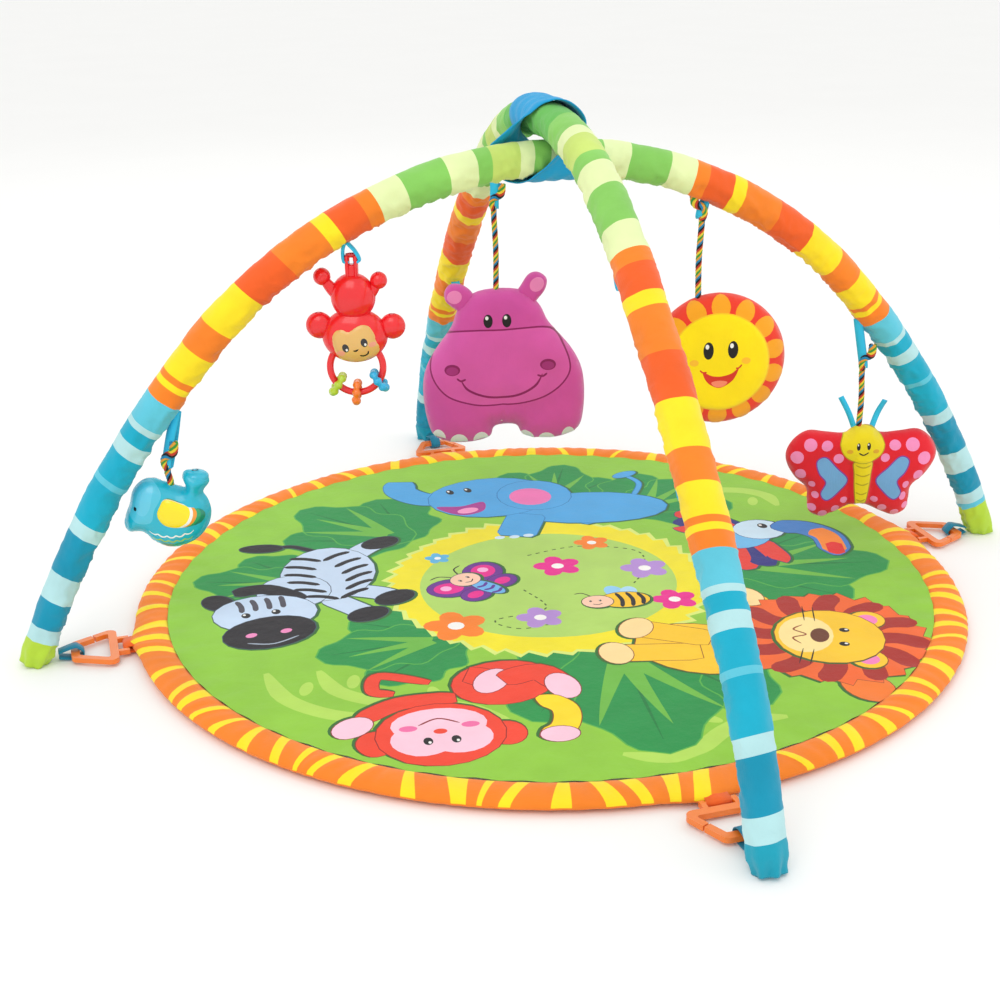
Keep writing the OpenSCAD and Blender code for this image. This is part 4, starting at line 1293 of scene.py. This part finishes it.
def clump(length, spread):
    """A fan of three leaves with pale blades on them."""
    art = []
    for turn, size in ((-spread, 0.82), (spread, 0.86), (0, 1.0)):
        art += placed(leaf(size * length, 0.66 * length, 3), 0, 0, turn)
    for turn in (-0.7 * spread, 0.1 * spread, 0.8 * spread):
        art += placed(blade(0.6 * length, 0.1 * length), 0.2 * length, 0, turn)
    return art


def flower(r, colour):
    """Five round petals and a white heart."""
    art = []
    for turn in range(0, 360, 72):
        art += placed([(oval(0.55 * r, 0, 0.46 * r, 0.38 * r, count=12), colour)], 0, 0, turn)
    art.append((oval(0, 0, 0.5 * r, 0.5 * r, count=12), colour))
    art.append((oval(0, 0, 0.26 * r, 0.26 * r, count=12), WHITE))
    return art


def dashes(points, dash=5.0):
    """A dashed flight line."""
    line = curve_through(points, 10)
    run = run_along(line)
    art = []
    for start in np.arange(0, run[-1] - dash, 2 * dash):
        ends = [[np.interp(s, run, line[:, k]) for k in (0, 1)] for s in (start, start + dash)]
        art.append((stroke(ends, 1.9, 2, 0.8), rgb("3F5C26")))
    return art


def dot_eyes(gap, rx, ry):
    """Two dark eyes with glints."""
    art = []
    for side in (-1, 1):
        art.append((oval(side * gap, 0, rx, ry, count=14), BLACK))
        art.append((oval(side * gap - 0.3 * rx, 0.35 * ry, 0.35 * rx, 0.35 * ry, count=8), WHITE))
    return art


def little_butterfly():
    art = []
    for side in (-1, 1):
        wings = [(oval(side * 26, 16, 25, 21, side * 30), rgb("6A2C91")),
                 (oval(side * 21, -14, 18, 14), rgb("6A2C91"))]
        art += outlined(wings, rgb("43206B"))
        art += [(oval(side * 28, 17, 16, 13, side * 30), MAGENTA), (oval(side * 22, -14, 10, 7), MAGENTA)]
        art.append((oval(side * 30, 19, 6, 6, count=12), rgb("F8B3DC")))
        art.append((stroke([(side * 4, 30), (side * 12, 44), (side * 24, 46)], 1.8), INK))
    art += outlined([(oval(0, -12, 10, 22), rgb("6DB5E8")), (oval(0, 18, 17, 15), PEACH)], rgb("3B2A6B"))
    for y in (-24, -14, -4):
        art.append((stroke([(-8, y), (0, y - 3), (8, y)], 3.6), rgb("5A2F95")))
    return art + placed(dot_eyes(6, 1.7, 2.6), 0, 20) + [(stroke([(-6, 13), (0, 10), (6, 13)], 1.3), INK)]


def bee():
    art = [(oval(2, 20, 10, 15, 15), rgb("8FC9EE")), (oval(16, 18, 9, 13, -15), rgb("A9D7F2"))]
    art += outlined([(oval(8, 0, 26, 18), rgb("F7C51E")), (oval(-20, 0, 16, 14), PEACH)], INK)
    for x in (2, 13, 24):
        half = 17 * math.sqrt(1 - ((x - 8) / 27) ** 2)
        art.append((stroke([(x, -half), (x + 3, 0), (x, half)], 4.6), INK))
    art.append((stroke([(-24, 13), (-32, 22), (-40, 21)], 1.5), INK))
    return art + placed(dot_eyes(5, 1.4, 2.0), -22,
                        2) + [(stroke([(-26, -5), (-21, -7), (-16, -5)], 1.2), INK)]


def elephant():
    """Side on, trunk raised to the left, drawn round the head."""
    skin = rgb("4BA6E1")
    parts = [(stroke([(160, -45), (182, -8), (176, 22)], 6), skin), (oval(176, 26, 17, 8, 20), skin)]
    for x, y in ((150, -92), (96, -108)):
        parts.append((stroke([(x - 6, y + 36), (x, y)], 42, 5, 0.8), skin))
    parts += [(oval(98, -62, 92, 48, -14), skin),
              (stroke([(24, -60), (-8, -118)], 44, 6, 0.8), skin),
              (stroke([(-40, 24), (-76, 22), (-98, 56), (-92, 88)], 38, 8, 0.75), skin),
              (oval(0, 6, 76, 62), skin),
              (oval(50, -4, 44, 48, -8), skin)]
    art = outlined(parts, rgb("1C6FB5"))
    art.append((oval(44, -8, 25, 27, -8), rgb("EE77B6")))
    art.append((blob([(-70, -6), (-42, -12), (-14, -6), (-20, -32), (-44, -40), (-62, -26)]), rgb("A8348E")))
    art.append((oval(-38, -27, 13, 8, 10), rgb("F49AC8")))
    for x in (-26, -10, 6):
        art.append((oval(x, -122 + 0.2 * abs(x), 6, 4.6, count=12), rgb("CFE6F6")))
    return art + placed(dot_eyes(11, 4.6, 8.0), -32, 36)


def zebra():
    """Galloping to the left, drawn round the head."""
    coat = rgb("C5D9F0")
    parts = [(stroke([(86, 132), (52, 168), (30, 168)], 7), INK), (oval(18, 174, 24, 11, -15), INK)]
    for hip, knee, hoof in (((96, 110), (128, 140), (146, 150)), ((86, 40), (116, 22), (130, 6)),
                            ((66, 24), (84, -4), (96, -24))):
        parts += [(stroke([hip, knee, hoof], 28, 5, 0.8), coat), (oval(*hoof, 22, 15, 20), INK)]
    parts += [(oval(76, 86, 50, 68, -14), coat), (oval(34, 52, 38, 40), coat),
              (stroke([(-26, 66), (8, 66), (40, 30)], 22, 6, 0.6), INK),
              (oval(-44, 48, 15, 20, 25), INK), (oval(-2, 10, 52, 42, -10), coat),
              (oval(-4, -34, 46, 34, 8), INK)]
    art = outlined(parts, rgb("3A4A60"))
    for k in range(6):
        y = 136 - 20 * k
        for side in (-1, 1):
            edge = 76 + side * 46 * math.sqrt(1 - ((y - 86) / 72) ** 2)
            art.append((stroke([(edge, y), (edge - side * 16, y - 5), (edge - side * 32, y - 16)], 7, 4, 0.2),
                        INK))
    for k in range(4):
        art.append((stroke([(-26 + 15 * k, 46), (-23 + 14 * k, 32), (-24 + 14 * k, 18)], 6, 4, 0.3),
                    rgb("4C4A55")))
    for x in (-22, 12):
        art.append((oval(x, -36, 6, 4.6, 20, 12), rgb("F08CC0")))
    art.append((stroke([(-28, -52), (-4, -60), (22, -50)], 2), rgb("A9B7C8")))
    return art + placed(dot_eyes(15, 4.6, 6.0), -6, 10)


def printed_monkey():
    """Sitting with a banana, drawn upright round the head."""
    fur = rgb("EE432A")
    skin = rgb("F7C9DB")
    parts = [(stroke([(0, -92), (44, -112), (52, -84), (34, -76)], 13, 8, 0.6), fur),
             (oval(-66, -82, 48, 40, 15), fur)]
    for knee, sole, turn in (((-40, -100), (-56, -86), -30), ((-100, -96), (-118, -66), 10)):
        parts += [(stroke([(-66, -86), knee, sole], 30, 5, 0.7), fur), (oval(*sole, 15, 24, turn), skin)]
    parts += [(stroke([(-20, -60), (30, -58), (66, -34)], 22, 6, 0.7), fur),
              (oval(74, -22, 20, 15, 40), skin),
              (stroke([(-92, -50), (-112, -26), (-106, 6), (-84, 22)], 24, 8, 0.25), rgb("F8DA1D")),
              (oval(-100, 18, 17, 13), skin), (oval(-56, 8, 17, 20), fur), (oval(56, 8, 17, 20), fur),
              (oval(0, 0, 56, 52), fur)]
    art = outlined(parts, rgb("8A1E1A"))
    art += [(oval(-16, 8, 28, 26), skin), (oval(16, 8, 28, 26), skin), (oval(0, -16, 42, 28), skin)]
    art += [(oval(side * 27, -12, 8, 5), rgb("EF6FA6")) for side in (-1, 1)]
    art += [(oval(0, -4, 6, 4.4), fur), (stroke([(-18, -16), (0, -26), (18, -16)], 2), rgb("8A1E1A"))]
    return art + placed(dot_eyes(12, 4.2, 6.2), 0, 11)


def lion():
    """Lying down, drawn upright round the mane, with the body below the chin."""
    coat = rgb("F8C829")
    line = rgb("8C3B17")
    parts = [(oval(46, -118, 64, 50, 80), coat), (oval(96, 34, 30, 22, 30), rgb("F07A2A"))]
    for x, y, turn in ((70, -196, 20), (14, -184, -10), (-76, -82, 30)):
        parts += [(stroke([(0.5 * x + 18, 0.6 * y), (x, y)], 34, 5, 0.8), coat),
                  (oval(x, y, 22, 16, turn), rgb("F9DC9C"))]
    parts.append((disc_fringe(88, 22, 0.14), rgb("F0682A")))
    art = outlined(parts, line)
    for turn in range(0, 360, 30):
        lock = stroke([(40, 0), (64, 6), (94, -4)], 22, 5, 0.25)
        art += placed([(lock, rgb("A82B22"))], 0, 0, turn)
    art += outlined([(oval(side * 42, 36, 18, 17), coat) for side in (-1, 1)], line)
    art += [(oval(side * 42, 36, 11, 10), rgb("F283BE")) for side in (-1, 1)]
    art += outlined([(oval(0, 0, 56, 52), coat)], line)
    art += [(oval(0, -22, 38, 26), rgb("FBE39A")), (oval(0, -9, 15, 9), rgb("6B3A24"))]
    art.append((stroke([(-20, -26), (-9, -34), (0, -22), (9, -34), (20, -26)], 1.9), line))
    for side in (-1, 1):
        for y in (-14, -24):
            art.append((stroke([(side * 30, y), (side * 62, y - 3)], 1.4, 3), BLACK))
    return art + placed(dot_eyes(15, 4.6, 5.0), 0, 14)


def toucan():
    """Wings spread, beak to the right, drawn round the head."""
    ink = rgb("2A2C7C")
    parts = []
    for turn, tip in ((128, rgb("E23A2E")), (-112, rgb("E23A2E"))):
        for k in range(4):
            feather = stroke([(18, 0), (66, 3), (112 - 12 * k, -3)], 26, 6, 0.35)
            parts += placed([(feather, ink if k % 2 == 0 else tip)], -14, -8, turn + 13 * (k - 1.5))
    parts += [(oval(-26, -14, 36, 28, 30), rgb("6DB8E8")), (oval(0, 0, 29, 27), rgb("CBE6F6")),
              (stroke([(16, 2), (48, -10), (62, -44), (48, -92)], 36, 8, 0.2), rgb("3F7FC6"))]
    art = outlined(parts, ink)
    art.append((stroke([(54, -20), (62, -44), (50, -88)], 26, 6, 0.15), rgb("F58A28")))
    art.append((stroke([(61, -58), (50, -90)], 18, 5, 0.2), rgb("E2231F")))
    return art + [(oval(8, 8, 5.4, 7), BLACK), (oval(6.6, 10.4, 2, 2.4, count=8), WHITE)]


def jungle_print():
    """All that is printed on the cover, from the ground up. Places are in mm from the mat's middle."""
    art = []
    for r, start, sweep_turn in ((330, 200, 44), (290, 205, 40), (350, 262, 26), (340, 20, 24)):
        a = np.radians(np.linspace(start, start + sweep_turn, 6))
        wave = 14 * np.sin(np.linspace(0, 2 * math.pi, 6))
        path = np.column_stack([(r + wave) * np.cos(a), (r + wave) * np.sin(a)])
        art.append((stroke(path, 17, 5, 0.3), GRASS_PALE))
        art += [(oval(*(0.93 * path[k]), 13, 6, math.degrees(a[k]) + 40), GRASS_PALE) for k in (1, 3)]
    for x, y, turn, length in ((-110, 150, 128, 165), (-230, 70, 160, 130), (70, 205, 64, 135),
                               (150, 150, 30, 150),
                               (175, -20, -14, 190), (20, -135, 262, 225), (-120, -95, 180, 140)):
        art += placed(clump(length, 34), x, y, turn)
    art.append((disc_fringe(CLEARING_R, 44, 0.07), rgb("D9E97A")))
    art.append((disc_fringe(0.97 * CLEARING_R, 44, 0.06), rgb("EFE11E")))
    art.append((oval(0, -2, 0.82 * CLEARING_R, 0.79 * CLEARING_R, count=60), rgb("AED566")))
    art += dashes([(0, 70), (62, 76), (116, 46), (108, 0), (82, -34)])
    art += dashes([(-30, -12), (-22, -62), (-78, -72), (-60, -98), (-20, -96)])
    for x, y, r, colour in ((-118, -72, 32, ORANGE), (-34, -80, 24, PURPLE), (22, 33, 26, MAGENTA),
                            (78, 82, 20, ORANGE),
                            (108, 0, 26, PURPLE), (108, -82, 24, MAGENTA), (-94, 94, 14, rgb("5DB5E0"))):
        art += placed(flower(r, colour), x, y, 18)
    art += placed(little_butterfly(), -70, 16, 35)
    art += placed(bee(), 52, -66, -8)
    art += placed(elephant(), 12, 244)
    art += placed(zebra(), -290, 6)
    art += placed(toucan(), 268, 58)
    art += placed(lion(), 216, -205, -118)
    art += placed(printed_monkey(), -184, -268, 172)
    return art


# ---------- mat ----------

TAB_TURNS = (0, 90, 180, 270)
TAB_PULL = 7.0           # how far the webbing pulls the rim out to a point


def rim_pull(a):
    """How far the rim is drawn outwards at an angle."""
    off = np.degrees(np.abs((a + math.pi / 4) % (math.pi / 2) - math.pi / 4))
    return TAB_PULL * np.clip(1 - off / 7.0, 0, 1) ** 1.5


def disc_sheet(name, radius, low, high, material, slot, cad):
    """A soft round sheet with a rounded edge."""
    turns = 180
    rings = [(0.02, 1), (0.5, 1), (0.9, 1), (0.985, 0.9), (1, 0.5), (0.985, 0.1), (0.9, 0), (0.5, 0),
             (0.02, 0)]
    points = []
    for reach, lift in rings:
        for a in np.linspace(0, 2 * math.pi, turns, endpoint=False):
            x, y = radius * reach * math.cos(a), radius * reach * math.sin(a)
            points.append((x, y, low + (high - low) * lift * (1 - 0.04 * abs(wobble(x / 60, y / 60)))))
    faces = grid_faces(len(rings), turns)
    faces += [tuple(range(turns))[::-1], tuple(range(len(points) - turns, len(points)))]
    return piece(name, Shape().add(points, faces, ORANGE), material, "mat", cad)


def printed_cover():
    """The top cover, quilted down at its edge, with the jungle on it."""
    outline = oval(0, 0, QUILT_R, QUILT_R, count=240)
    flat, faces, colours = flat_print(outline, GRASS, jungle_print(), 9.0)
    reach = np.hypot(flat[:, 0], flat[:, 1])
    angle = np.arctan2(flat[:, 1], flat[:, 0])
    soft = np.array([wobble(x / 70, y / 70) for x, y in flat])
    pucker = 0.8 * np.sin(64 * angle) * smoothstep((reach - 0.9 * QUILT_R) / (0.1 * QUILT_R))
    high = MAT_TOP + 0.6 * soft + pucker
    shape = Shape().add(np.column_stack([flat, high]), faces, colours)
    piece("mat_printed_cover", shape, PRINT_FABRIC, "mat", ["mat_top_cover"])


def binding_stripes():
    """Angles where yellow stripes start and end, with uneven gaps, round the whole rim."""
    dice = random.Random(8)
    stripes = []
    a = 0.0
    while a < 2 * math.pi - 0.06:
        wide = dice.uniform(7, 15) / MAT_R
        stripes.append((a, a + wide))
        a += wide + dice.uniform(12, 38) / MAT_R
    return np.array(stripes)


def binding():
    """The padded, striped and slightly wrinkled rim."""
    turns, around = 1260, 16
    stripes = binding_stripes()
    half = (MAT_R - QUILT_R) / 2 + 1.5
    middle = MAT_R - half
    angles = np.linspace(0, 2 * math.pi, turns, endpoint=False)
    points, colours = [], []
    for a in angles:
        tuck = 0.9 * wobble(40 * math.cos(a), 40 * math.sin(a)) + 0.5 * math.sin(150 * a)
        pull = rim_pull(a)
        for k in range(around):
            t = 2 * math.pi * k / around
            out = math.cos(t)
            r = middle + half * out + pull * max(out, 0) + 0.4 * tuck
            z = RIM_TOP * (0.5 + 0.46 * math.sin(t)) + tuck * max(math.sin(t), 0) * 0.8
            lean = a + 0.02 * out * math.sin(17 * a)
            points.append((r * math.cos(lean), r * math.sin(lean), max(z, 0.4)))
            yellow = np.any((stripes[:, 0] <= a) & (a < stripes[:, 1]))
            colours.append(YELLOW if yellow and math.sin(t) > -0.35 else ORANGE)
    shape = Shape().add(points, grid_faces(turns, around, wrap_rows=True), ORANGE)
    shape.colours[:] = [colours[f[0]] for f in shape.faces]
    piece("mat_striped_binding", shape, PRINT_FABRIC, "mat", ["mat_binding"])


def webbing_tabs():
    """Four doubled webbing tabs, each round a link's pin."""
    low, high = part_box("mat_tabs")
    reach = high.x / MM
    middle = 0.5 * (low.z + high.z) / MM
    rise = 0.5 * (high.z - low.z) / MM - 0.8
    tabs = []
    for turn in TAB_TURNS:
        a = math.radians(turn)
        out = np.array([math.cos(a), math.sin(a), 0])
        across = np.array([-math.sin(a), math.cos(a), 0])
        side = [(reach - 30, rise), (reach - 7, rise), (reach - 1.2, 0), (reach - 7, -rise),
                (reach - 30, -rise)]
        path = curve_through([out * r + UP * (middle + z) for r, z in side], 7)
        tabs.append(ribbon(path, across, 21, 1.5, ORANGE))
    piece("mat_webbing_tabs", join(*tabs), WEBBING, "mat", ["mat_tabs"])


def sheet_span(node):
    low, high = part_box(node)
    return high.x / MM, low.z / MM, high.z / MM


printed_cover()
binding()
webbing_tabs()
disc_sheet("mat_padding_sheet", *sheet_span("mat_padding"), WADDING, "padding", ["mat_padding"])
disc_sheet("mat_under_cover", *sheet_span("mat_bottom_cover"), UNDER_FABRIC, "mat_under",
           ["mat_bottom_cover"])


# ---------- ribbons at the feet and strap at the crossing ----------

def link_end():
    """Distance from the mat's middle to the outer end of a link."""
    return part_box("link_right")[1].x / MM


def foot_ribbons(arch, body, node):
    """A doubled ribbon at each foot, from the sleeve round the end of the link."""
    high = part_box(node)[1]
    reach = max(high.x, high.y) / MM
    inner = link_end() - 12
    strips = []
    for side in (-1, 1):
        out = arch.direction * side
        across = np.cross(UP, out)
        loop = [(reach, 9), (reach - 14, 13), (inner + 5, 12), (inner, 6), (inner + 5, 1.4),
                (reach - 12, 1.4),
                (reach, 4)]
        path = curve_through([out * r + UP * z for r, z in loop], 7)
        strips.append(ribbon(path, across, 12, 1.3, TEAL))
    piece(body + "_doubled_foot_ribbons", join(*strips), TEAL_RIBBON, body, [node])


def around_both_sleeves(off, rows):
    """The tight line round both sleeves, off mm to one side of the crossing: even points as (along, up).

    A diagonal cut through a sleeve is an ellipse, root two times as wide as it is high. The two ellipses
    part as off grows."""
    high = SLEEVE_R + 1.4
    wide = high * math.sqrt(2)
    rise = 0.5 * (ARCH_B.crown - ARCH_A.crown)
    line = []
    for t in np.linspace(math.pi / 2, 2.5 * math.pi, 241):
        c, s = math.cos(t), math.sin(t)
        support = math.hypot(wide * c, high * s)
        touch = np.array([wide * wide * c, high * high * s]) / support
        middle = np.array([off, rise])
        side = 1 if middle @ (c, s) >= 0 else -1
        line.append(touch + side * middle)
    line = np.array(line)
    run = run_along(line)
    even = np.linspace(0, run[-1], rows, endpoint=False)
    return np.column_stack([np.interp(even, run, line[:, k]) for k in (0, 1)])


def crossing_band():
    """A wrinkled band pulled tight round both sleeves where the arches cross."""
    rows, columns, width, thick = 120, 15, 46.0, 1.1
    centre = UP * 0.5 * (ARCH_A.crown + ARCH_B.crown)
    plane = unit((-1, 1, 0))
    across = unit((1, 1, 0))
    layers = []
    for lift in (thick, 0.0):
        strips = []
        for v in np.linspace(-0.5, 0.5, columns):
            line = around_both_sleeves(v * width, rows)
            ahead = np.roll(line, -1, axis=0) - np.roll(line, 1, axis=0)
            out = np.column_stack([ahead[:, 1], -ahead[:, 0]]) / np.linalg.norm(ahead, axis=1)[:, None]
            fold = np.array([0.9 + 0.9 * math.sin(24 * v + 1.5 * math.sin(2 * math.pi * n / rows * 3))
                             + 0.8 * abs(wobble(4 * v, line[n, 0] / 14,
                                                line[n, 1] / 14)) for n in range(rows)])
            shifted = line + out * (fold + lift)[:, None]
            strips.append(centre + shifted[:, :1] * plane + shifted[:, 1:] * UP + across * v * width)
        layers.extend(strips if lift else strips[::-1])
    points = np.stack(layers, axis=1).reshape(-1, 3)
    shape = Shape().add(points, grid_faces(rows, 2 * columns, wrap_rows=True), rgb("1AA0DA"))
    band = piece("crossing_strap_band", shape, STRAP_FABRIC, None, ["crossing_strap"])
    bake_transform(band)


foot_ribbons(ARCH_A, "arch_a", "arch_a_foot_ribbons")
foot_ribbons(ARCH_B, "arch_b", "arch_b_foot_ribbons")
crossing_band()


# ---------- finishes of the rigid parts that keep their own shape ----------

def finish(material, slot, *nodes):
    for name in nodes:
        part = frame["nodes"][name]
        part.data.materials.clear()
        part.data.materials.append(material)


LINKS = ("link_left", "link_front", "link_right", "link_back")
finish(LINK_PLASTIC, "link_plastic", *LINKS)
for link in LINKS:
    rounded = frame["nodes"][link].modifiers.new("rounded_edges", "BEVEL")
    rounded.width = 1.1 * MM
    rounded.segments = 3
    rounded.limit_method = "ANGLE"
finish(ROD_PLASTIC, "rod_plastic", "arch_a_rod_left", "arch_a_rod_right", "arch_b_rod_front",
       "arch_b_rod_back",
       "arch_a_end_caps", "arch_b_end_caps")
finish(STEEL, "ferrule_metal", "arch_a_ferrule", "arch_b_ferrule")
finish(ROD_PLASTIC, "ball_plastic", "bird_rattle_balls", "monkey_rattle_balls")


# ---------- camera, light and floor ----------

CAMERA_PLACE = (-0.4502, -1.3713, 0.6696)
CAMERA_FORWARD = (0.26063, 0.89362, -0.36541)
CAMERA_UP = (0.11752, 0.34631, 0.93073)
CAMERA_LENS = 54.8       # mm, on a 36 mm sensor
FLOOR_REACH = 40.0       # metres to each side
LIGHTS = (               # name, place, target, size and power
    ("key", (-1.2, -1.6, 2.4), (0, 0, 0.1), 1.6, 15),
    ("fill", (1.8, -1.0, 1.6), (0, 0, 0.2), 2.0, 5),
    ("back", (0.3, 2.2, 2.0), (0, 0, 0.2), 2.0, 6))


def camera():
    """In front of the mat, to its left, and above the crown of the arches."""
    forward = Vector(CAMERA_FORWARD).normalized()
    up = Vector(CAMERA_UP).normalized()
    right = forward.cross(up).normalized()
    up = right.cross(forward)
    data = bpy.data.cameras.new("camera")
    data.lens = CAMERA_LENS
    data.sensor_width = 36
    made = bpy.data.objects.new("camera", data)
    bpy.context.scene.collection.objects.link(made)
    turn = Matrix((right, up, -forward)).transposed().to_4x4()
    made.matrix_world = Matrix.Translation(CAMERA_PLACE) @ turn
    bpy.context.scene.camera = made


def area_light(name, place, target, size, power):
    data = bpy.data.lights.new(name, "AREA")
    data.size = size
    data.energy = power
    made = bpy.data.objects.new(name, data)
    bpy.context.scene.collection.objects.link(made)
    made.location = place
    made.rotation_euler = (Vector(target) - Vector(place)).to_track_quat("-Z", "Y").to_euler()


def studio():
    world = bpy.data.worlds.new("studio")
    world.use_nodes = True
    background = world.node_tree.nodes["Background"]
    background.inputs["Color"].default_value = (1, 1, 1, 1)
    background.inputs["Strength"].default_value = 1.0
    bpy.context.scene.world = world
    bpy.context.scene.view_settings.view_transform = "Standard"
    for light in LIGHTS:
        area_light(*light)
    mesh = bpy.data.meshes.new("floor")
    corners = [(x * FLOOR_REACH, y * FLOOR_REACH, 0) for x, y in ((-1, -1), (1, -1), (1, 1), (-1, 1))]
    mesh.from_pydata(corners, [], [(0, 1, 2, 3)])
    floor = bpy.data.objects.new("floor", mesh)
    bpy.context.scene.collection.objects.link(floor)
    made, tree, surface, place, source = base_material("floor_paper", rgb("F7F7F5"))
    tree.links.new(vary(tree, place, source, 3, 0.99, 1.0), surface.inputs["Base Color"])
    surface.inputs["Roughness"].default_value = 0.9
    mesh.materials.append(made)


camera()
studio()
